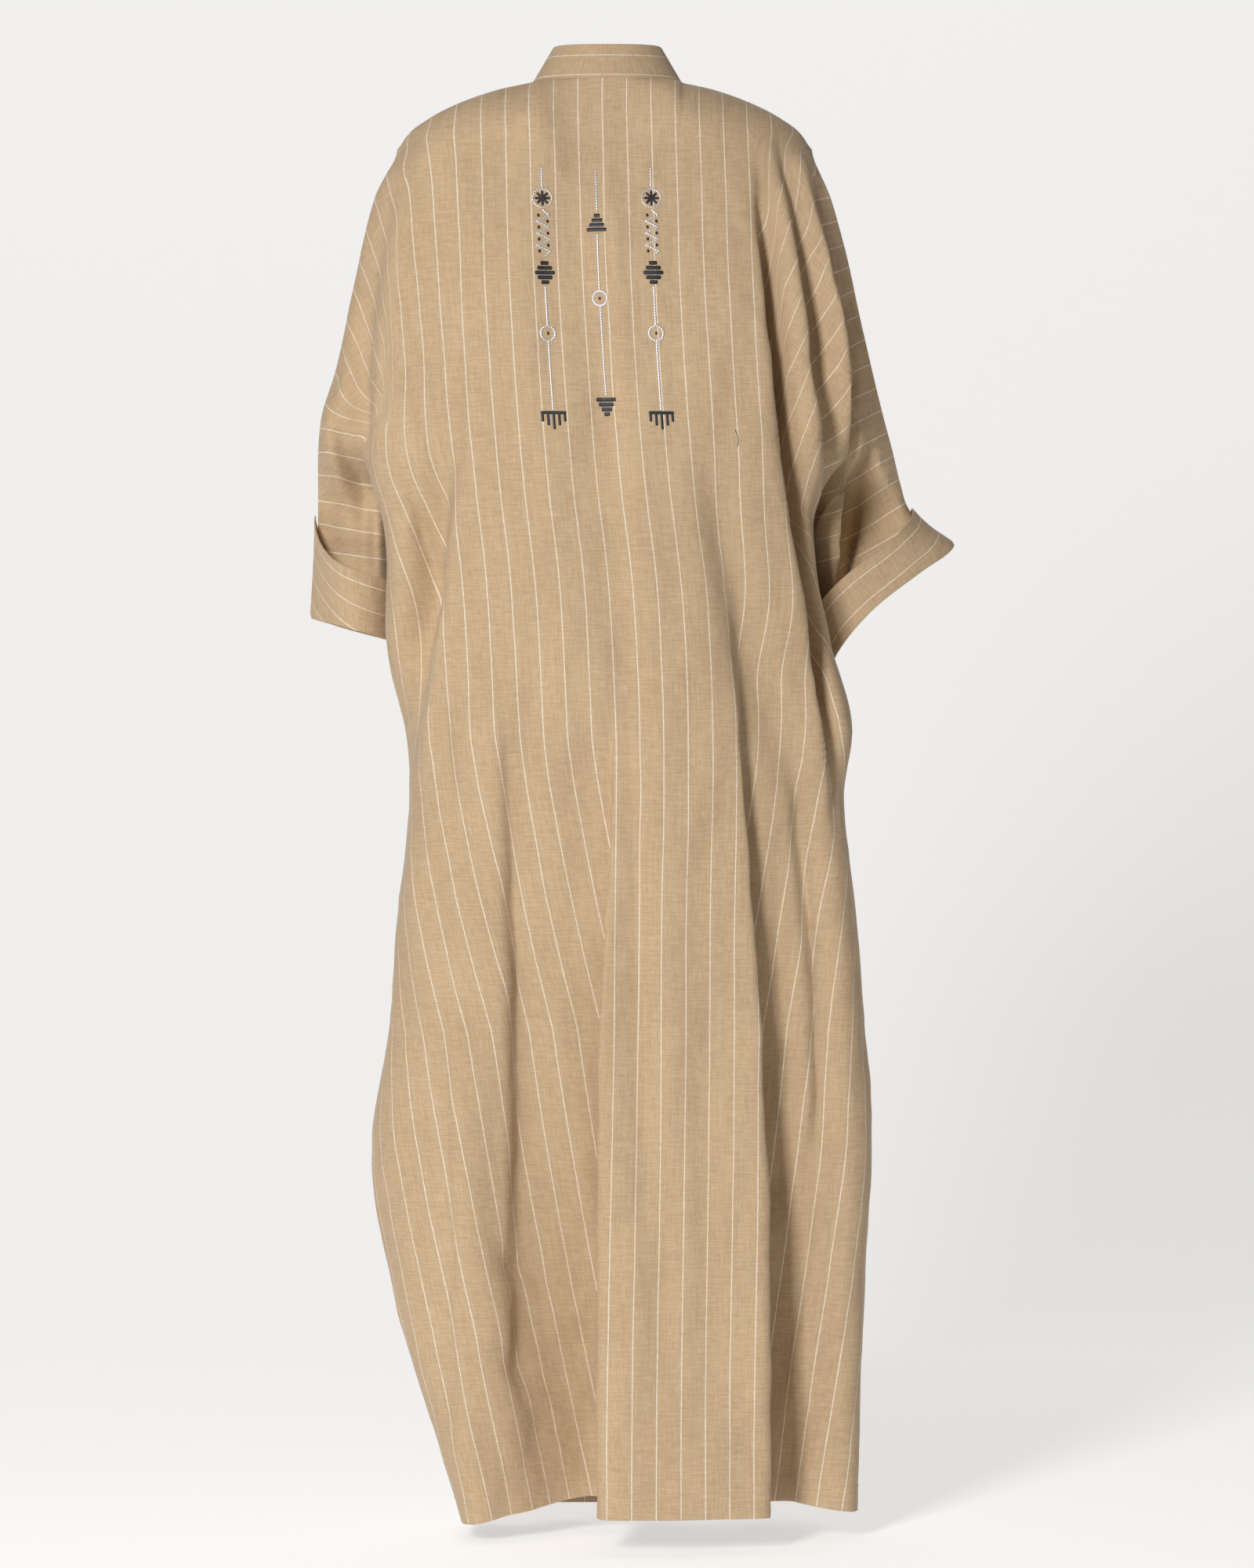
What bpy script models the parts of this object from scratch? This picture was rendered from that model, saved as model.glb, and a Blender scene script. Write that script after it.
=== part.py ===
"""A floor-length open kaftan of striped linen, worn, cut like a bisht.

The back, with the back half of both sleeves, is one piece of cloth. Each front, with the front half
of its sleeve, is another. Two long bands are joined at the centre back, stand round the neck and run
down the front edges, and two deep cuffs are turned back over the sleeve ends. The garment keeps the
hollow form that it has on a standing figure.

Frame: metres, +Z up, the back towards +Y, the wearer's left towards +X. The origin is in the middle
of the neck, level with the top of the shoulder seams.

Each cloth panel is a lattice. A column has a share of the way round from the centre of the panel (0)
to the over-arm seam (1), and a row has a share of the way down. A horizontal section through the
garment is one wide loop at the shoulders. Further down it parts into a loop for the body and a loop
for each sleeve, which hang side by side with a tuck between them.
"""

import bpy
import numpy as np
from mathutils import kdtree

# Cloth
WALL = 0.0016
SEAM_GAP = 0.0003
NECK_CORNER_TRIM = 0.0010
SAME_PLACE = 0.0004

# Shares of the way round, from the centre of a panel to the over-arm seam
NECK_SHARE = 0.235
RIDGE_SHARE = 0.62
SIDE_SHARE = 0.70
SLEEVE_SHARE = 0.73

SIDE_TAPER = 0.18
ARM_TAPER = 0.12
SHOULDER_SPREAD = 0.85

# Shares of the way down, from the shoulder seam to the sleeve end
SPLIT_START = 0.50
SPLIT_DONE = 0.78
UNDERARM = 0.83
SIDE_SEAM_START = 0.45
CALM_FROM = 1.25

# Sizes of the neck, the band and the cuffs
NECK_HALF_WIDTH = 0.076
NECK_SIDE_Y = -0.005
NECK_BACK_Y = 0.062
NECK_BACK_DROP = 0.006
BAND_WIDTH = 0.042
BAND_BACK_LEAN = 0.45
BAND_SIDE_LEAN = 0.48
CUFF_CLEARANCE = 0.0036
CUFF_FLARE = 0.011
CUFF_START = 0.0011
CUFF_FOLD = 0.0028
CUFF_ROWS = 4
CUFF_FIRST_ROW = 0.03
FLARE_GROWTH = 1.3
BAND_STANDS = 0.02
BAND_TURN = 0.16
BAND_CENTRE_Y = 0.005

# Heights
SLEEVE_END_AT_BODY = -0.575
SHOULDER_ROUNDING = 0.060
NAPE_ROUNDING = 0.170
SECTION_ROUNDNESS = 0.62
FOLD_START = 0.05
TUCK_WIDTH = 0.012
SIDE_SEAM_SPREAD = 0.050
NAPE_REACH = 0.05
NAPE_FADE = 0.06

# Folds: the fade at each end, and in widths the way from an edge to its hollow and back to its crest
FOLD_FADE = 0.12
HOLLOW_OFFSET = 1.3
CREST_OFFSET = 1.5
FLOOR_WIDTH = 1.6
FLOOR_LEAN = 0.6
FULL_LEAN_DEPTH = 0.05

# How finely a panel is divided
BODY_COLUMNS = 46
SLEEVE_COLUMNS = 7
FINE_STEP = 0.0025
ROUND_REACH = 7
ROUND_WIDTH = 3.2
FOLD_SHARES = (0.01, -0.31)
FOLD_CROWDING = 1.8
FOLD_SPREAD = 0.055
UPPER_ROWS = (0.0, 0.008, 0.024, 0.05, 0.09, 0.14, 0.20, 0.28, 0.36, 0.44, 0.52, 0.59, 0.66, 0.72,
              0.78, UNDERARM, 0.89, 0.95, 1.0)
LOWER_ROWS = 11

LINEN = (0.50, 0.37, 0.23, 1.0)


def table(columns, rows):
    """Turn rows of sizes under named columns into one array for each column."""
    values = np.array(rows, dtype=float)
    return {name: values[:, k] for k, name in enumerate(columns.split())}


# The outer line of the sleeves and shoulders, as distances from the middle
ARM = table("height left right", (
    (-0.070, 0.2064, 0.2136),
    (-0.118, 0.2304, 0.2320),
    (-0.166, 0.2448, 0.2472),
    (-0.254, 0.2624, 0.2712),
    (-0.302, 0.2744, 0.2824),
    (-0.342, 0.2870, 0.2912),
    (-0.372, 0.2904, 0.2980),
    (-0.410, 0.2900, 0.3056),
    (-0.430, 0.2898, 0.3000),
    (-0.448, 0.2898, 0.3130),
    (-0.462, 0.2900, 0.3300),
    (-0.470, 0.2900, 0.3490),
    (-0.544, 0.2930, 0.3560)))

# The loop of the body: its sides, depths, side seam, and the ridge that hangs over the tuck
BODY = table("height left right back front side ridge tuck", (
    (-0.070, 0.200, 0.204, 0.090, 0.085, -0.005, 0.030, 0.000),
    (-0.200, 0.235, 0.215, 0.116, 0.122, -0.008, 0.030, 0.000),
    (-0.300, 0.252, 0.226, 0.122, 0.142, -0.012, 0.040, 0.002),
    (-0.366, 0.254, 0.236, 0.124, 0.146, -0.020, 0.045, 0.006),
    (-0.438, 0.230, 0.225, 0.126, 0.146, -0.034, 0.050, 0.016),
    (-0.494, 0.2248, 0.2285, 0.128, 0.143, -0.044, 0.055, 0.022),
    (-0.575, 0.2248, 0.2368, 0.130, 0.140, -0.050, 0.055, 0.022),
    (-0.660, 0.2080, 0.2520, 0.130, 0.136, -0.045, 0.048, 0.012),
    (-0.726, 0.1928, 0.2400, 0.128, 0.133, -0.036, 0.034, 0.000),
    (-0.840, 0.2040, 0.2560, 0.128, 0.132, -0.030, 0.022, 0.000),
    (-0.960, 0.2152, 0.2656, 0.129, 0.132, -0.028, 0.020, 0.000),
    (-1.080, 0.2344, 0.2720, 0.130, 0.132, -0.026, 0.020, 0.000),
    (-1.230, 0.2160, 0.2680, 0.132, 0.132, -0.020, 0.020, 0.000),
    (-1.370, 0.1816, 0.2640, 0.134, 0.132, -0.008, 0.020, 0.000),
    (-1.468, 0.1480, 0.2616, 0.136, 0.132, 0.000, 0.020, 0.000)))

# The sleeve ends: the height at the body and at the outer tip, and how far they swell back and front
SLEEVE_END = {
    "left": {"inner": -0.570, "tip": -0.544, "back": 0.046, "front": 0.062},
    "right": {"inner": -0.588, "tip": -0.470, "back": 0.052, "front": 0.066},
}
CUFF_TOP = {
    "left": {"inner": -0.495, "tip": -0.440, "bend": 2.4},
    "right": {"inner": -0.5456, "tip": -0.430, "bend": 1.0},
}

# The shoulder seam: its drop at each distance from the middle
SHOULDER = table("out drop", (
    (0.076, 0.003),
    (0.108, 0.0105),
    (0.140, 0.0225),
    (0.172, 0.0385),
    (0.196, 0.0540),
    (0.210, 0.0700)))

# The hem of the back: its height at each distance from the middle, the wearer's left first
BACK_HEM = table("across height", (
    (-0.2616, -1.456),
    (-0.190, -1.446),
    (-0.155, -1.449),
    (-0.010, -1.449),
    (0.022, -1.445),
    (0.148, -1.467)))

# The neckline and front edge: its distance from the middle at each height
FRONT_EDGE = table("height out", (
    (0.000, 0.0760),
    (-0.040, 0.0735),
    (-0.100, 0.0650),
    (-0.200, 0.0580),
    (-0.400, 0.0535),
    (-1.468, 0.0520)))

# Folds. A hollow lies on one side of its edge (toward +1 is the wearer's left). It is narrow at the
# edge, reaches further on its far side, and leans under the edge. Three stations give its way down.
FOLD_COLUMNS = ("toward narrow reach lean high_z high_x high_depth mid_z mid_x mid_depth "
                "low_z low_x low_depth")
BACK_FOLDS = table(FOLD_COLUMNS, (
    # Middle panel of the skirt, left and right edges
    (1, 0.011, 0.105, 0.020, -0.640, -0.012, 0.004, -1.060, -0.006, 0.050, -1.468, -0.004, 0.125),
    (-1, 0.010, 0.080, 0.018, -0.560, -0.124, 0.006, -1.060, -0.142, 0.045, -1.468, -0.149, 0.100),
    # Edges of the back over the drapes that fall from the sleeves
    (-1, 0.012, 0.034, 0.012, -0.130, -0.150, 0.006, -0.420, -0.174, 0.042, -0.715, -0.224, 0.018),
    (1, 0.014, 0.034, 0.008, -0.380, 0.146, 0.006, -0.560, 0.166, 0.036, -0.715, 0.190, 0.014),
    # Folds that fall from the shoulders over the sleeves
    (1, 0.014, 0.026, 0.006, -0.100, 0.205, 0.000, -0.290, 0.232, 0.020, -0.420, 0.236, 0.012),
    (-1, 0.012, 0.026, 0.008, -0.070, -0.174, 0.004, -0.220, -0.197, 0.022, -0.380, -0.216, 0.026),
    (-1, 0.011, 0.026, 0.010, -0.080, -0.208, 0.004, -0.300, -0.248, 0.024, -0.480, -0.252, 0.024),
    # Soft valleys
    (1, 0.022, 0.034, 0.000, -0.090, 0.018, 0.004, -0.370, -0.026, 0.010, -0.700, -0.046, 0.006),
    (1, 0.024, 0.036, 0.000, -0.640, 0.092, 0.006, -0.950, 0.098, 0.020, -1.300, 0.080, 0.012),
    (-1, 0.018, 0.026, 0.000, -0.440, -0.168, 0.005, -0.640, -0.184, 0.014, -0.880, -0.182, 0.012),
    (-1, 0.014, 0.024, 0.004, -0.680, -0.212, 0.008, -0.830, -0.196, 0.018, -1.050, -0.190, 0.008)))
LEFT_FRONT_FOLDS = table(FOLD_COLUMNS, (
    (-1, 0.022, 0.036, 0.004, -0.240, 0.122, 0.004, -0.900, 0.125, 0.026, -1.468, 0.122, 0.050),
    (1, 0.016, 0.040, 0.006, -0.200, 0.165, 0.006, -0.420, 0.168, 0.028, -0.640, 0.175, 0.010)))
RIGHT_FRONT_FOLDS = table(FOLD_COLUMNS, (
    (1, 0.022, 0.036, 0.004, -0.260, -0.126, 0.004, -0.900, -0.130, 0.026, -1.468, -0.136, 0.050),
    (-1, 0.022, 0.030, 0.004, -0.700, -0.190, 0.004, -1.100, -0.200, 0.024, -1.468, -0.200, 0.040),
    (-1, 0.016, 0.040, 0.006, -0.180, -0.170, 0.006, -0.420, -0.178, 0.026, -0.640, -0.190, 0.010)))


def smooth(value):
    """Rise from 0 to 1 as the value does, level at both ends."""
    value = np.clip(value, 0.0, 1.0)
    return value * value * (3.0 - 2.0 * value)


def through(at, places, sizes):
    """Smooth curve through sizes given at places, level past both ends."""
    order = np.argsort(places)
    places, sizes = places[order], sizes[order]
    slopes = np.gradient(sizes, places)
    at = np.clip(at, places[0], places[-1])
    k = np.clip(np.searchsorted(places, at) - 1, 0, len(places) - 2)
    step = places[k + 1] - places[k]
    t = (at - places[k]) / step
    return (sizes[k] * (1 + 2 * t) * (1 - t) ** 2 + sizes[k + 1] * t * t * (3 - 2 * t)
            + step * (slopes[k] * t * (1 - t) ** 2 - slopes[k + 1] * t * t * (1 - t)))


def unit(vectors):
    """Vectors of length one."""
    return vectors / np.maximum(np.linalg.norm(vectors, axis=-1, keepdims=True), 1e-12)


def by_side(leftward, sizes, z):
    """A size that a table gives for the left and the right, at each height."""
    left = through(z, sizes["height"], sizes["left"])
    right = through(z, sizes["height"], sizes["right"])
    return np.where(leftward, left, right)


def sleeve_end(leftward, key):
    """A size of the sleeve ends, left or right."""
    return np.where(leftward, SLEEVE_END["left"][key], SLEEVE_END["right"][key])


def top_line(share, leftward, face):
    """The neck curve of the back, and the shoulder seam beside it, at each share."""
    reach = by_side(leftward, ARM, np.full_like(share, ARM["height"][0]))
    beyond = np.clip((share - NECK_SHARE) / (1 - NECK_SHARE), 0, 1)
    out = NECK_HALF_WIDTH * np.sin(np.pi / 2 * share) / np.sin(np.pi / 2 * NECK_SHARE)
    along_seam = NECK_HALF_WIDTH + (reach - NECK_HALF_WIDTH) * beyond ** SHOULDER_SPREAD
    out = np.where(share < NECK_SHARE, out, along_seam)
    drop = through(out, SHOULDER["out"], SHOULDER["drop"])
    neck_drop = NECK_BACK_DROP + (SHOULDER["drop"][0] - NECK_BACK_DROP) * (out / NECK_HALF_WIDTH) ** 2
    drop = np.where(out < NECK_HALF_WIDTH, neck_drop, drop)
    across = np.sqrt(np.clip(1.0 - (out / NECK_HALF_WIDTH) ** 2, 0.0, 1.0))
    y = np.where(face > 0, NECK_SIDE_Y + (NECK_BACK_Y - NECK_SIDE_Y) * across, NECK_SIDE_Y)
    return out, y, -drop


def fold_shift(x, z, folds):
    """How far the folds push the cloth in, and sideways, at distance x and height z."""
    push = np.zeros_like(x)
    lean = np.zeros_like(x)
    for k in range(len(folds["toward"])):
        row = {name: values[k] for name, values in folds.items()}
        heights = np.array([row["high_z"], row["mid_z"], row["low_z"]])
        edge = through(z, heights, np.array([row["high_x"], row["mid_x"], row["low_x"]]))
        depth = through(z, heights, np.array([row["high_depth"], row["mid_depth"], row["low_depth"]]))
        fade = smooth((row["high_z"] - z) / FOLD_FADE + 0.5)
        if row["low_z"] > BACK_HEM["height"].max():
            fade = fade * smooth((z - row["low_z"]) / FOLD_FADE + 0.5)
        depth = depth * fade
        past = row["toward"] * (x - edge) - HOLLOW_OFFSET * row["narrow"]
        width = np.where(past < 0, row["narrow"], row["reach"])
        hollow = np.exp(-(past / width) ** 2)
        crest = np.exp(-((past + CREST_OFFSET * row["narrow"]) / row["narrow"]) ** 2)
        floor = np.exp(-(past / (FLOOR_WIDTH * row["narrow"])) ** 2)
        strength = np.clip(depth / FULL_LEAN_DEPTH, 0.0, 1.0)
        push = push + depth * hollow
        lean = lean + row["toward"] * row["lean"] * strength * (crest - FLOOR_LEAN * floor)
    return push, lean


def cloth(share, leftward, face, z, down):
    """Place a panel's points: across and depth, at signed share and height, one sign for each face.

    share, leftward, z and down are arrays of one shape. down is the share of the way to the sleeve
    end. face is +1 on the back and -1 on a front.
    """
    side_y = through(z, BODY["height"], BODY["side"])
    depth = through(z, BODY["height"], BODY["back" if face > 0 else "front"]) * face
    ridge_y = side_y + face * through(z, BODY["height"], BODY["ridge"])
    tuck = through(z, BODY["height"], BODY["tuck"])
    body = by_side(leftward, BODY, z)
    arm = by_side(leftward, ARM, z)
    split = smooth((down - SPLIT_START) / (SPLIT_DONE - SPLIT_START))

    # One wide loop
    turn = np.pi / 2 * share
    wide_x = arm * np.sin(turn)
    wide_y = side_y + (depth - side_y) * np.abs(np.cos(turn)) ** SECTION_ROUNDNESS

    # The loop of the body, as far as the side seam behind the ridge
    turn = np.pi / 2 * np.clip(share / RIDGE_SHARE, 0, 1)
    behind = np.clip((share - RIDGE_SHARE) / (SIDE_SHARE - RIDGE_SHARE), 0, 1)
    part = smooth((down - SIDE_SEAM_START) / (UNDERARM - SIDE_SEAM_START))
    seam_half = np.where(down > UNDERARM + 0.01, 0.0, WALL / 2 + SEAM_GAP)
    seam_y = side_y + face * (SIDE_SEAM_SPREAD * (1 - part) + seam_half)
    body_x = body * np.sin(turn) - tuck * smooth(behind)
    body_y = ridge_y + (depth - ridge_y) * np.abs(np.cos(turn)) ** SECTION_ROUNDNESS
    body_y = body_y + (seam_y - ridge_y) * behind

    # The tuck and the loop of the sleeve
    tucked = np.clip((share - SIDE_SHARE) / (SLEEVE_SHARE - SIDE_SHARE), 0, 1)
    round_it = np.clip((share - SLEEVE_SHARE) / (1 - SLEEVE_SHARE), 0, 1)
    inner = body - tuck + TUCK_WIDTH
    swell = sleeve_end(leftward, "back" if face > 0 else "front") * face
    sleeve_x = inner + (arm - inner) * (1 - np.cos(np.pi * round_it)) / 2
    fullness = np.sin(np.pi * round_it) ** (1.15 if face > 0 else 2.0)
    sleeve_y = seam_y * (1 - round_it) + side_y * round_it + swell * fullness
    split_x = np.where(share <= SIDE_SHARE, body_x, body - tuck + TUCK_WIDTH * tucked)
    split_x = np.where(share >= SLEEVE_SHARE, sleeve_x, split_x)
    split_y = np.where(share >= SIDE_SHARE, sleeve_y, body_y)

    x = wide_x + (split_x - wide_x) * split
    y = wide_y + (split_y - wide_y) * split

    # The shoulders and the nape round over from the seam
    out, seam_y_top, seam_z = top_line(share, leftward, face)
    fall = np.clip(seam_z - z, 0, None)
    near_neck = smooth((NECK_HALF_WIDTH + NAPE_REACH - out) / NAPE_FADE)
    rounding = SHOULDER_ROUNDING + (NAPE_ROUNDING - SHOULDER_ROUNDING) * near_neck
    q = np.clip(fall / rounding, 0, 1)
    ramp = np.sqrt(1 - (1 - q) ** 2) * (1 - near_neck) + np.sin(np.pi / 2 * q) * near_neck
    y = seam_y_top + (y - seam_y_top) * ramp + face * SEAM_GAP / 2
    return out + (x - out) * ramp, y, split


def seam_taper(share, split):
    """Keep the folds away from the over-arm seam, and from the side seam where there is one."""
    at_side = smooth((np.abs(share - SIDE_SHARE) - 0.03) / SIDE_TAPER)
    return smooth((1 - share) / ARM_TAPER) * (1 + (at_side - 1) * split)


def rounded(points, share, split):
    """Round each turn of a section a little, as cloth does. The ends and the seams stay in place."""
    spread = np.arange(-ROUND_REACH, ROUND_REACH + 1)
    weights = np.exp(-(spread / ROUND_WIDTH) ** 2)
    weights = weights / weights.sum()
    count = points.shape[1]
    result = np.zeros_like(points)
    for offset, weight in zip(spread, weights):
        result += weight * points[:, np.clip(np.arange(count) + offset, 0, count - 1)]
    ends = smooth(np.minimum(np.arange(count), np.arange(count)[::-1]) / (2.0 * ROUND_REACH))
    parted = smooth((share - SIDE_SHARE + 0.05) / 0.04) * split
    return points + (result - points) * (ends[None, :] * (1 - parted))[..., None]


def sleeve_heights(share, leftward):
    """Height of the sleeve end at each share, level across the body."""
    round_it = np.clip((share - SLEEVE_SHARE) / (1 - SLEEVE_SHARE), 0, 1)
    rise = (1 - np.cos(np.pi * round_it)) / 2
    inner = sleeve_end(leftward, "inner")
    tip = sleeve_end(leftward, "tip")
    start = np.where(share > (SIDE_SHARE + SLEEVE_SHARE) / 2, inner, SLEEVE_END_AT_BODY)
    return start + (tip - start) * rise


def body_columns():
    """Signed shares of the body's columns, closer where the deep folds of the skirt are."""
    fine = np.linspace(-SIDE_SHARE, SIDE_SHARE, 2001)
    weight = np.ones_like(fine)
    for share in FOLD_SHARES:
        weight += FOLD_CROWDING * np.exp(-((fine - share) / FOLD_SPREAD) ** 2)
    total = np.cumsum(weight)
    total = (total - total[0]) / (total[-1] - total[0])
    columns = np.interp(np.linspace(0, 1, BODY_COLUMNS), total, fine)
    for corner in (-NECK_SHARE, 0.0, NECK_SHARE):
        columns[np.argmin(np.abs(columns - corner))] = corner
    return columns


def row_heights(shares, leftward, face, hem):
    """Heights and shares down of every row, for columns at the given shares."""
    top = top_line(shares, leftward, face)[2]
    end = sleeve_heights(shares, leftward)
    upper = np.array(UPPER_ROWS)[:, None]
    lower = (np.arange(1, LOWER_ROWS + 1) / LOWER_ROWS)[:, None]
    z = np.vstack([top + upper * (end - top), end + lower * (hem - end)])
    down = np.vstack([upper + 0 * shares, 1 + lower + 0 * shares])
    return z, down


def hem_line(x):
    """Height of the back's hem at each distance from the middle."""
    return np.interp(x, BACK_HEM["across"], BACK_HEM["height"])


def lay_panel(shares, face, folds):
    """Lay a panel's lattice: rows of points at signed shares, which may differ from row to row."""
    leftward = shares >= 0
    share = np.abs(shares)
    side = np.where(leftward, 1.0, -1.0)
    reach = np.where(leftward, BODY["left"][-1], BODY["right"][-1])
    hem_x = side * reach * np.sin(np.pi / 2 * np.clip(share[-1] / RIDGE_SHARE, 0, 1))
    hem = hem_line(hem_x[-1]) if face > 0 else np.where(leftward[-1], BACK_HEM["height"][-1],
                                                         BACK_HEM["height"][0])
    z, down = row_heights(share[0], leftward[0], face, hem)
    x, y, split = cloth(share, leftward, face, z, down)
    x = x * side
    push, lean = fold_shift(x, z, folds)
    taper = seam_taper(share, split) * smooth((z[0] - z) / FOLD_START)
    points = np.stack([x + lean * taper, y - face * push * taper, z], axis=-1)
    calm = smooth((CALM_FROM - down) / (CALM_FROM - 1))[..., None]
    return points + (rounded(points, share, split) - points) * calm


def pick(fine_points, fine_shares, columns):
    """Read a finely laid panel at chosen columns."""
    rows, _, axes = fine_points.shape
    result = np.zeros((rows, len(columns), axes))
    for axis in range(axes):
        for row in range(rows):
            result[row, :, axis] = np.interp(columns, fine_shares, fine_points[row, :, axis])
    return result


def front_shares(columns, leftward):
    """Shares of a front's columns in each row, from the front edge round to the over-arm seam."""
    rows = len(UPPER_ROWS) + LOWER_ROWS
    down = np.concatenate([UPPER_ROWS, 1 + np.arange(1, LOWER_ROWS + 1) / LOWER_ROWS])
    z = np.where(down <= 1, down * SLEEVE_END_AT_BODY,
                 SLEEVE_END_AT_BODY + (down - 1) * (BODY["height"][-1] - SLEEVE_END_AT_BODY))
    edge = through(z, FRONT_EDGE["height"], FRONT_EDGE["out"])
    arm = by_side(np.full(rows, leftward), ARM, z)
    body = by_side(np.full(rows, leftward), BODY, z)
    split = smooth((down - SPLIT_START) / (SPLIT_DONE - SPLIT_START))
    wide = 2 / np.pi * np.arcsin(edge / arm)
    parted = RIDGE_SHARE * 2 / np.pi * np.arcsin(edge / body)
    first = wide + (parted - wide) * split
    first = (NECK_SHARE + (first - NECK_SHARE) * smooth(down / 0.12))[:, None]
    along = np.clip((columns - NECK_SHARE) / (SIDE_SHARE - NECK_SHARE), 0, 1)[None, :]
    return np.where(columns[None, :] > SIDE_SHARE, columns[None, :],
                    first + (SIDE_SHARE - first) * along)


def kept_cells(rows, shares):
    """Which cells a panel keeps: none in the tuck below the underarm, no sleeve below its end."""
    underarm_row = UPPER_ROWS.index(UNDERARM)
    end_row = len(UPPER_ROWS) - 1
    middle = np.abs((shares[1:] + shares[:-1]) / 2)
    row = np.arange(rows - 1)[:, None]
    in_tuck = (middle > SIDE_SHARE - 1e-6) & (middle < SLEEVE_SHARE + 1e-6)
    in_sleeve = middle > SLEEVE_SHARE - 1e-6
    keep = np.ones((rows - 1, len(shares) - 1), dtype=bool)
    keep &= ~(in_tuck[None, :] & (row >= underarm_row))
    keep &= ~(in_sleeve[None, :] & (row >= end_row))
    return keep


def lattice_faces(keep):
    """Quads of the kept cells, as indices into the lattice's points."""
    rows, columns = keep.shape
    index = np.arange((rows + 1) * (columns + 1)).reshape(rows + 1, columns + 1)
    a, b = index[:-1, :-1][keep], index[:-1, 1:][keep]
    c, d = index[1:, 1:][keep], index[1:, :-1][keep]
    return np.stack([a, b, c, d], axis=1)


def rim_edges(faces):
    """Directed edges that only one quad uses."""
    starts = faces.reshape(-1)
    ends = np.roll(faces, -1, axis=1).reshape(-1)
    used = set(zip(starts.tolist(), ends.tolist()))
    return [(a, b) for a, b in used if (b, a) not in used]


def trimmed(points, faces, distance):
    """Draw the rim of a panel in by a distance that may differ from point to point."""
    flat = points.reshape(-1, 3)
    rim = sorted({corner for edge in rim_edges(faces) for corner in edge})
    inward = np.zeros_like(flat)
    for k in range(4):
        for other in (faces[:, (k + 1) % 4], faces[:, (k + 3) % 4]):
            np.add.at(inward, faces[:, k], unit(flat[other] - flat[faces[:, k]]))
    moved = flat.copy()
    moved[rim] += unit(inward[rim]) * distance.reshape(-1)[rim][:, None]
    return moved.reshape(points.shape)


def corner_normals(points, faces):
    """Mean normal of the quads round each point, each counting the same."""
    flat = points.reshape(-1, 3)
    normal = unit(np.cross(flat[faces[:, 2]] - flat[faces[:, 0]], flat[faces[:, 3]] - flat[faces[:, 1]]))
    total = np.zeros_like(flat)
    for k in range(4):
        np.add.at(total, faces[:, k], normal)
    return unit(total)


def split_quads(flat, quads):
    """Cut each quad along its shorter diagonal."""
    a, b, c, d = (flat[quads[:, k]] for k in range(4))
    across = np.linalg.norm(a - c, axis=1) <= np.linalg.norm(b - d, axis=1)
    first = np.where(across[:, None], quads[:, [0, 1, 2]], quads[:, [0, 1, 3]])
    second = np.where(across[:, None], quads[:, [0, 2, 3]], quads[:, [1, 2, 3]])
    return np.vstack([first, second])


def linen(name, shade):
    """Matt linen."""
    material = bpy.data.materials.new(name)
    material.use_nodes = True
    shader = material.node_tree.nodes["Principled BSDF"]
    shader.inputs["Base Color"].default_value = tuple(c * shade for c in LINEN[:3]) + (1.0,)
    shader.inputs["Roughness"].default_value = 0.9
    shader.inputs["Metallic"].default_value = 0.0
    material.diffuse_color = shader.inputs["Base Color"].default_value
    return material


def sewn(panels):
    """Give panels that meet along a seam the same normal at each of its points, half-way between."""
    where, owner = [], []
    for panel in panels:
        faces = lattice_faces(panel["keep"])
        panel["faces"] = faces
        panel["middle"] = trimmed(panel["points"], faces, panel["trim"]).reshape(-1, 3)
        panel["normals"] = corner_normals(panel["middle"], faces)
        rim = sorted({corner for edge in rim_edges(faces) for corner in edge})
        where.extend(panel["points"].reshape(-1, 3)[rim])
        owner.extend((panel, corner) for corner in rim)
    near = kdtree.KDTree(len(where))
    for k, place in enumerate(where):
        near.insert(place, k)
    near.balance()
    shared = []
    for k, (panel, corner) in enumerate(owner):
        meets = [owner[other] for _, other, _ in near.find_range(where[k], SAME_PLACE)]
        shared.append(unit(sum(other["normals"][index] for other, index in meets)))
    for (panel, corner), normal in zip(owner, shared):
        panel["normals"][corner] = normal
    for panel in panels:
        used = np.unique(panel["faces"])
        new = np.full(len(panel["middle"]), -1)
        new[used] = np.arange(len(used))
        close_cloth(panel["name"], panel["middle"][used], panel["normals"][used],
                    new[panel["faces"]], panel["shade"])


def close_cloth(name, middle, normals, quads, shade):
    """Make the solid of a cloth from its middle surface: two faces and the rim between them."""
    count = len(middle)
    corners = np.vstack([middle + normals * WALL / 2, middle - normals * WALL / 2])
    outer = split_quads(middle, quads)
    rim = np.array([(b, a, a + count, b + count) for a, b in rim_edges(quads)])
    faces = np.vstack([outer, outer[:, ::-1] + count, split_quads(corners, rim)])
    mesh = bpy.data.meshes.new(name)
    mesh.from_pydata(corners.tolist(), [], faces.tolist())
    mesh.validate()
    mesh.shade_smooth()
    mesh.set_sharp_from_angle(angle=np.radians(60))
    mesh.materials.append(linen(name, shade))
    item = bpy.data.objects.new(name, mesh)
    bpy.context.scene.collection.objects.link(item)


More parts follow.
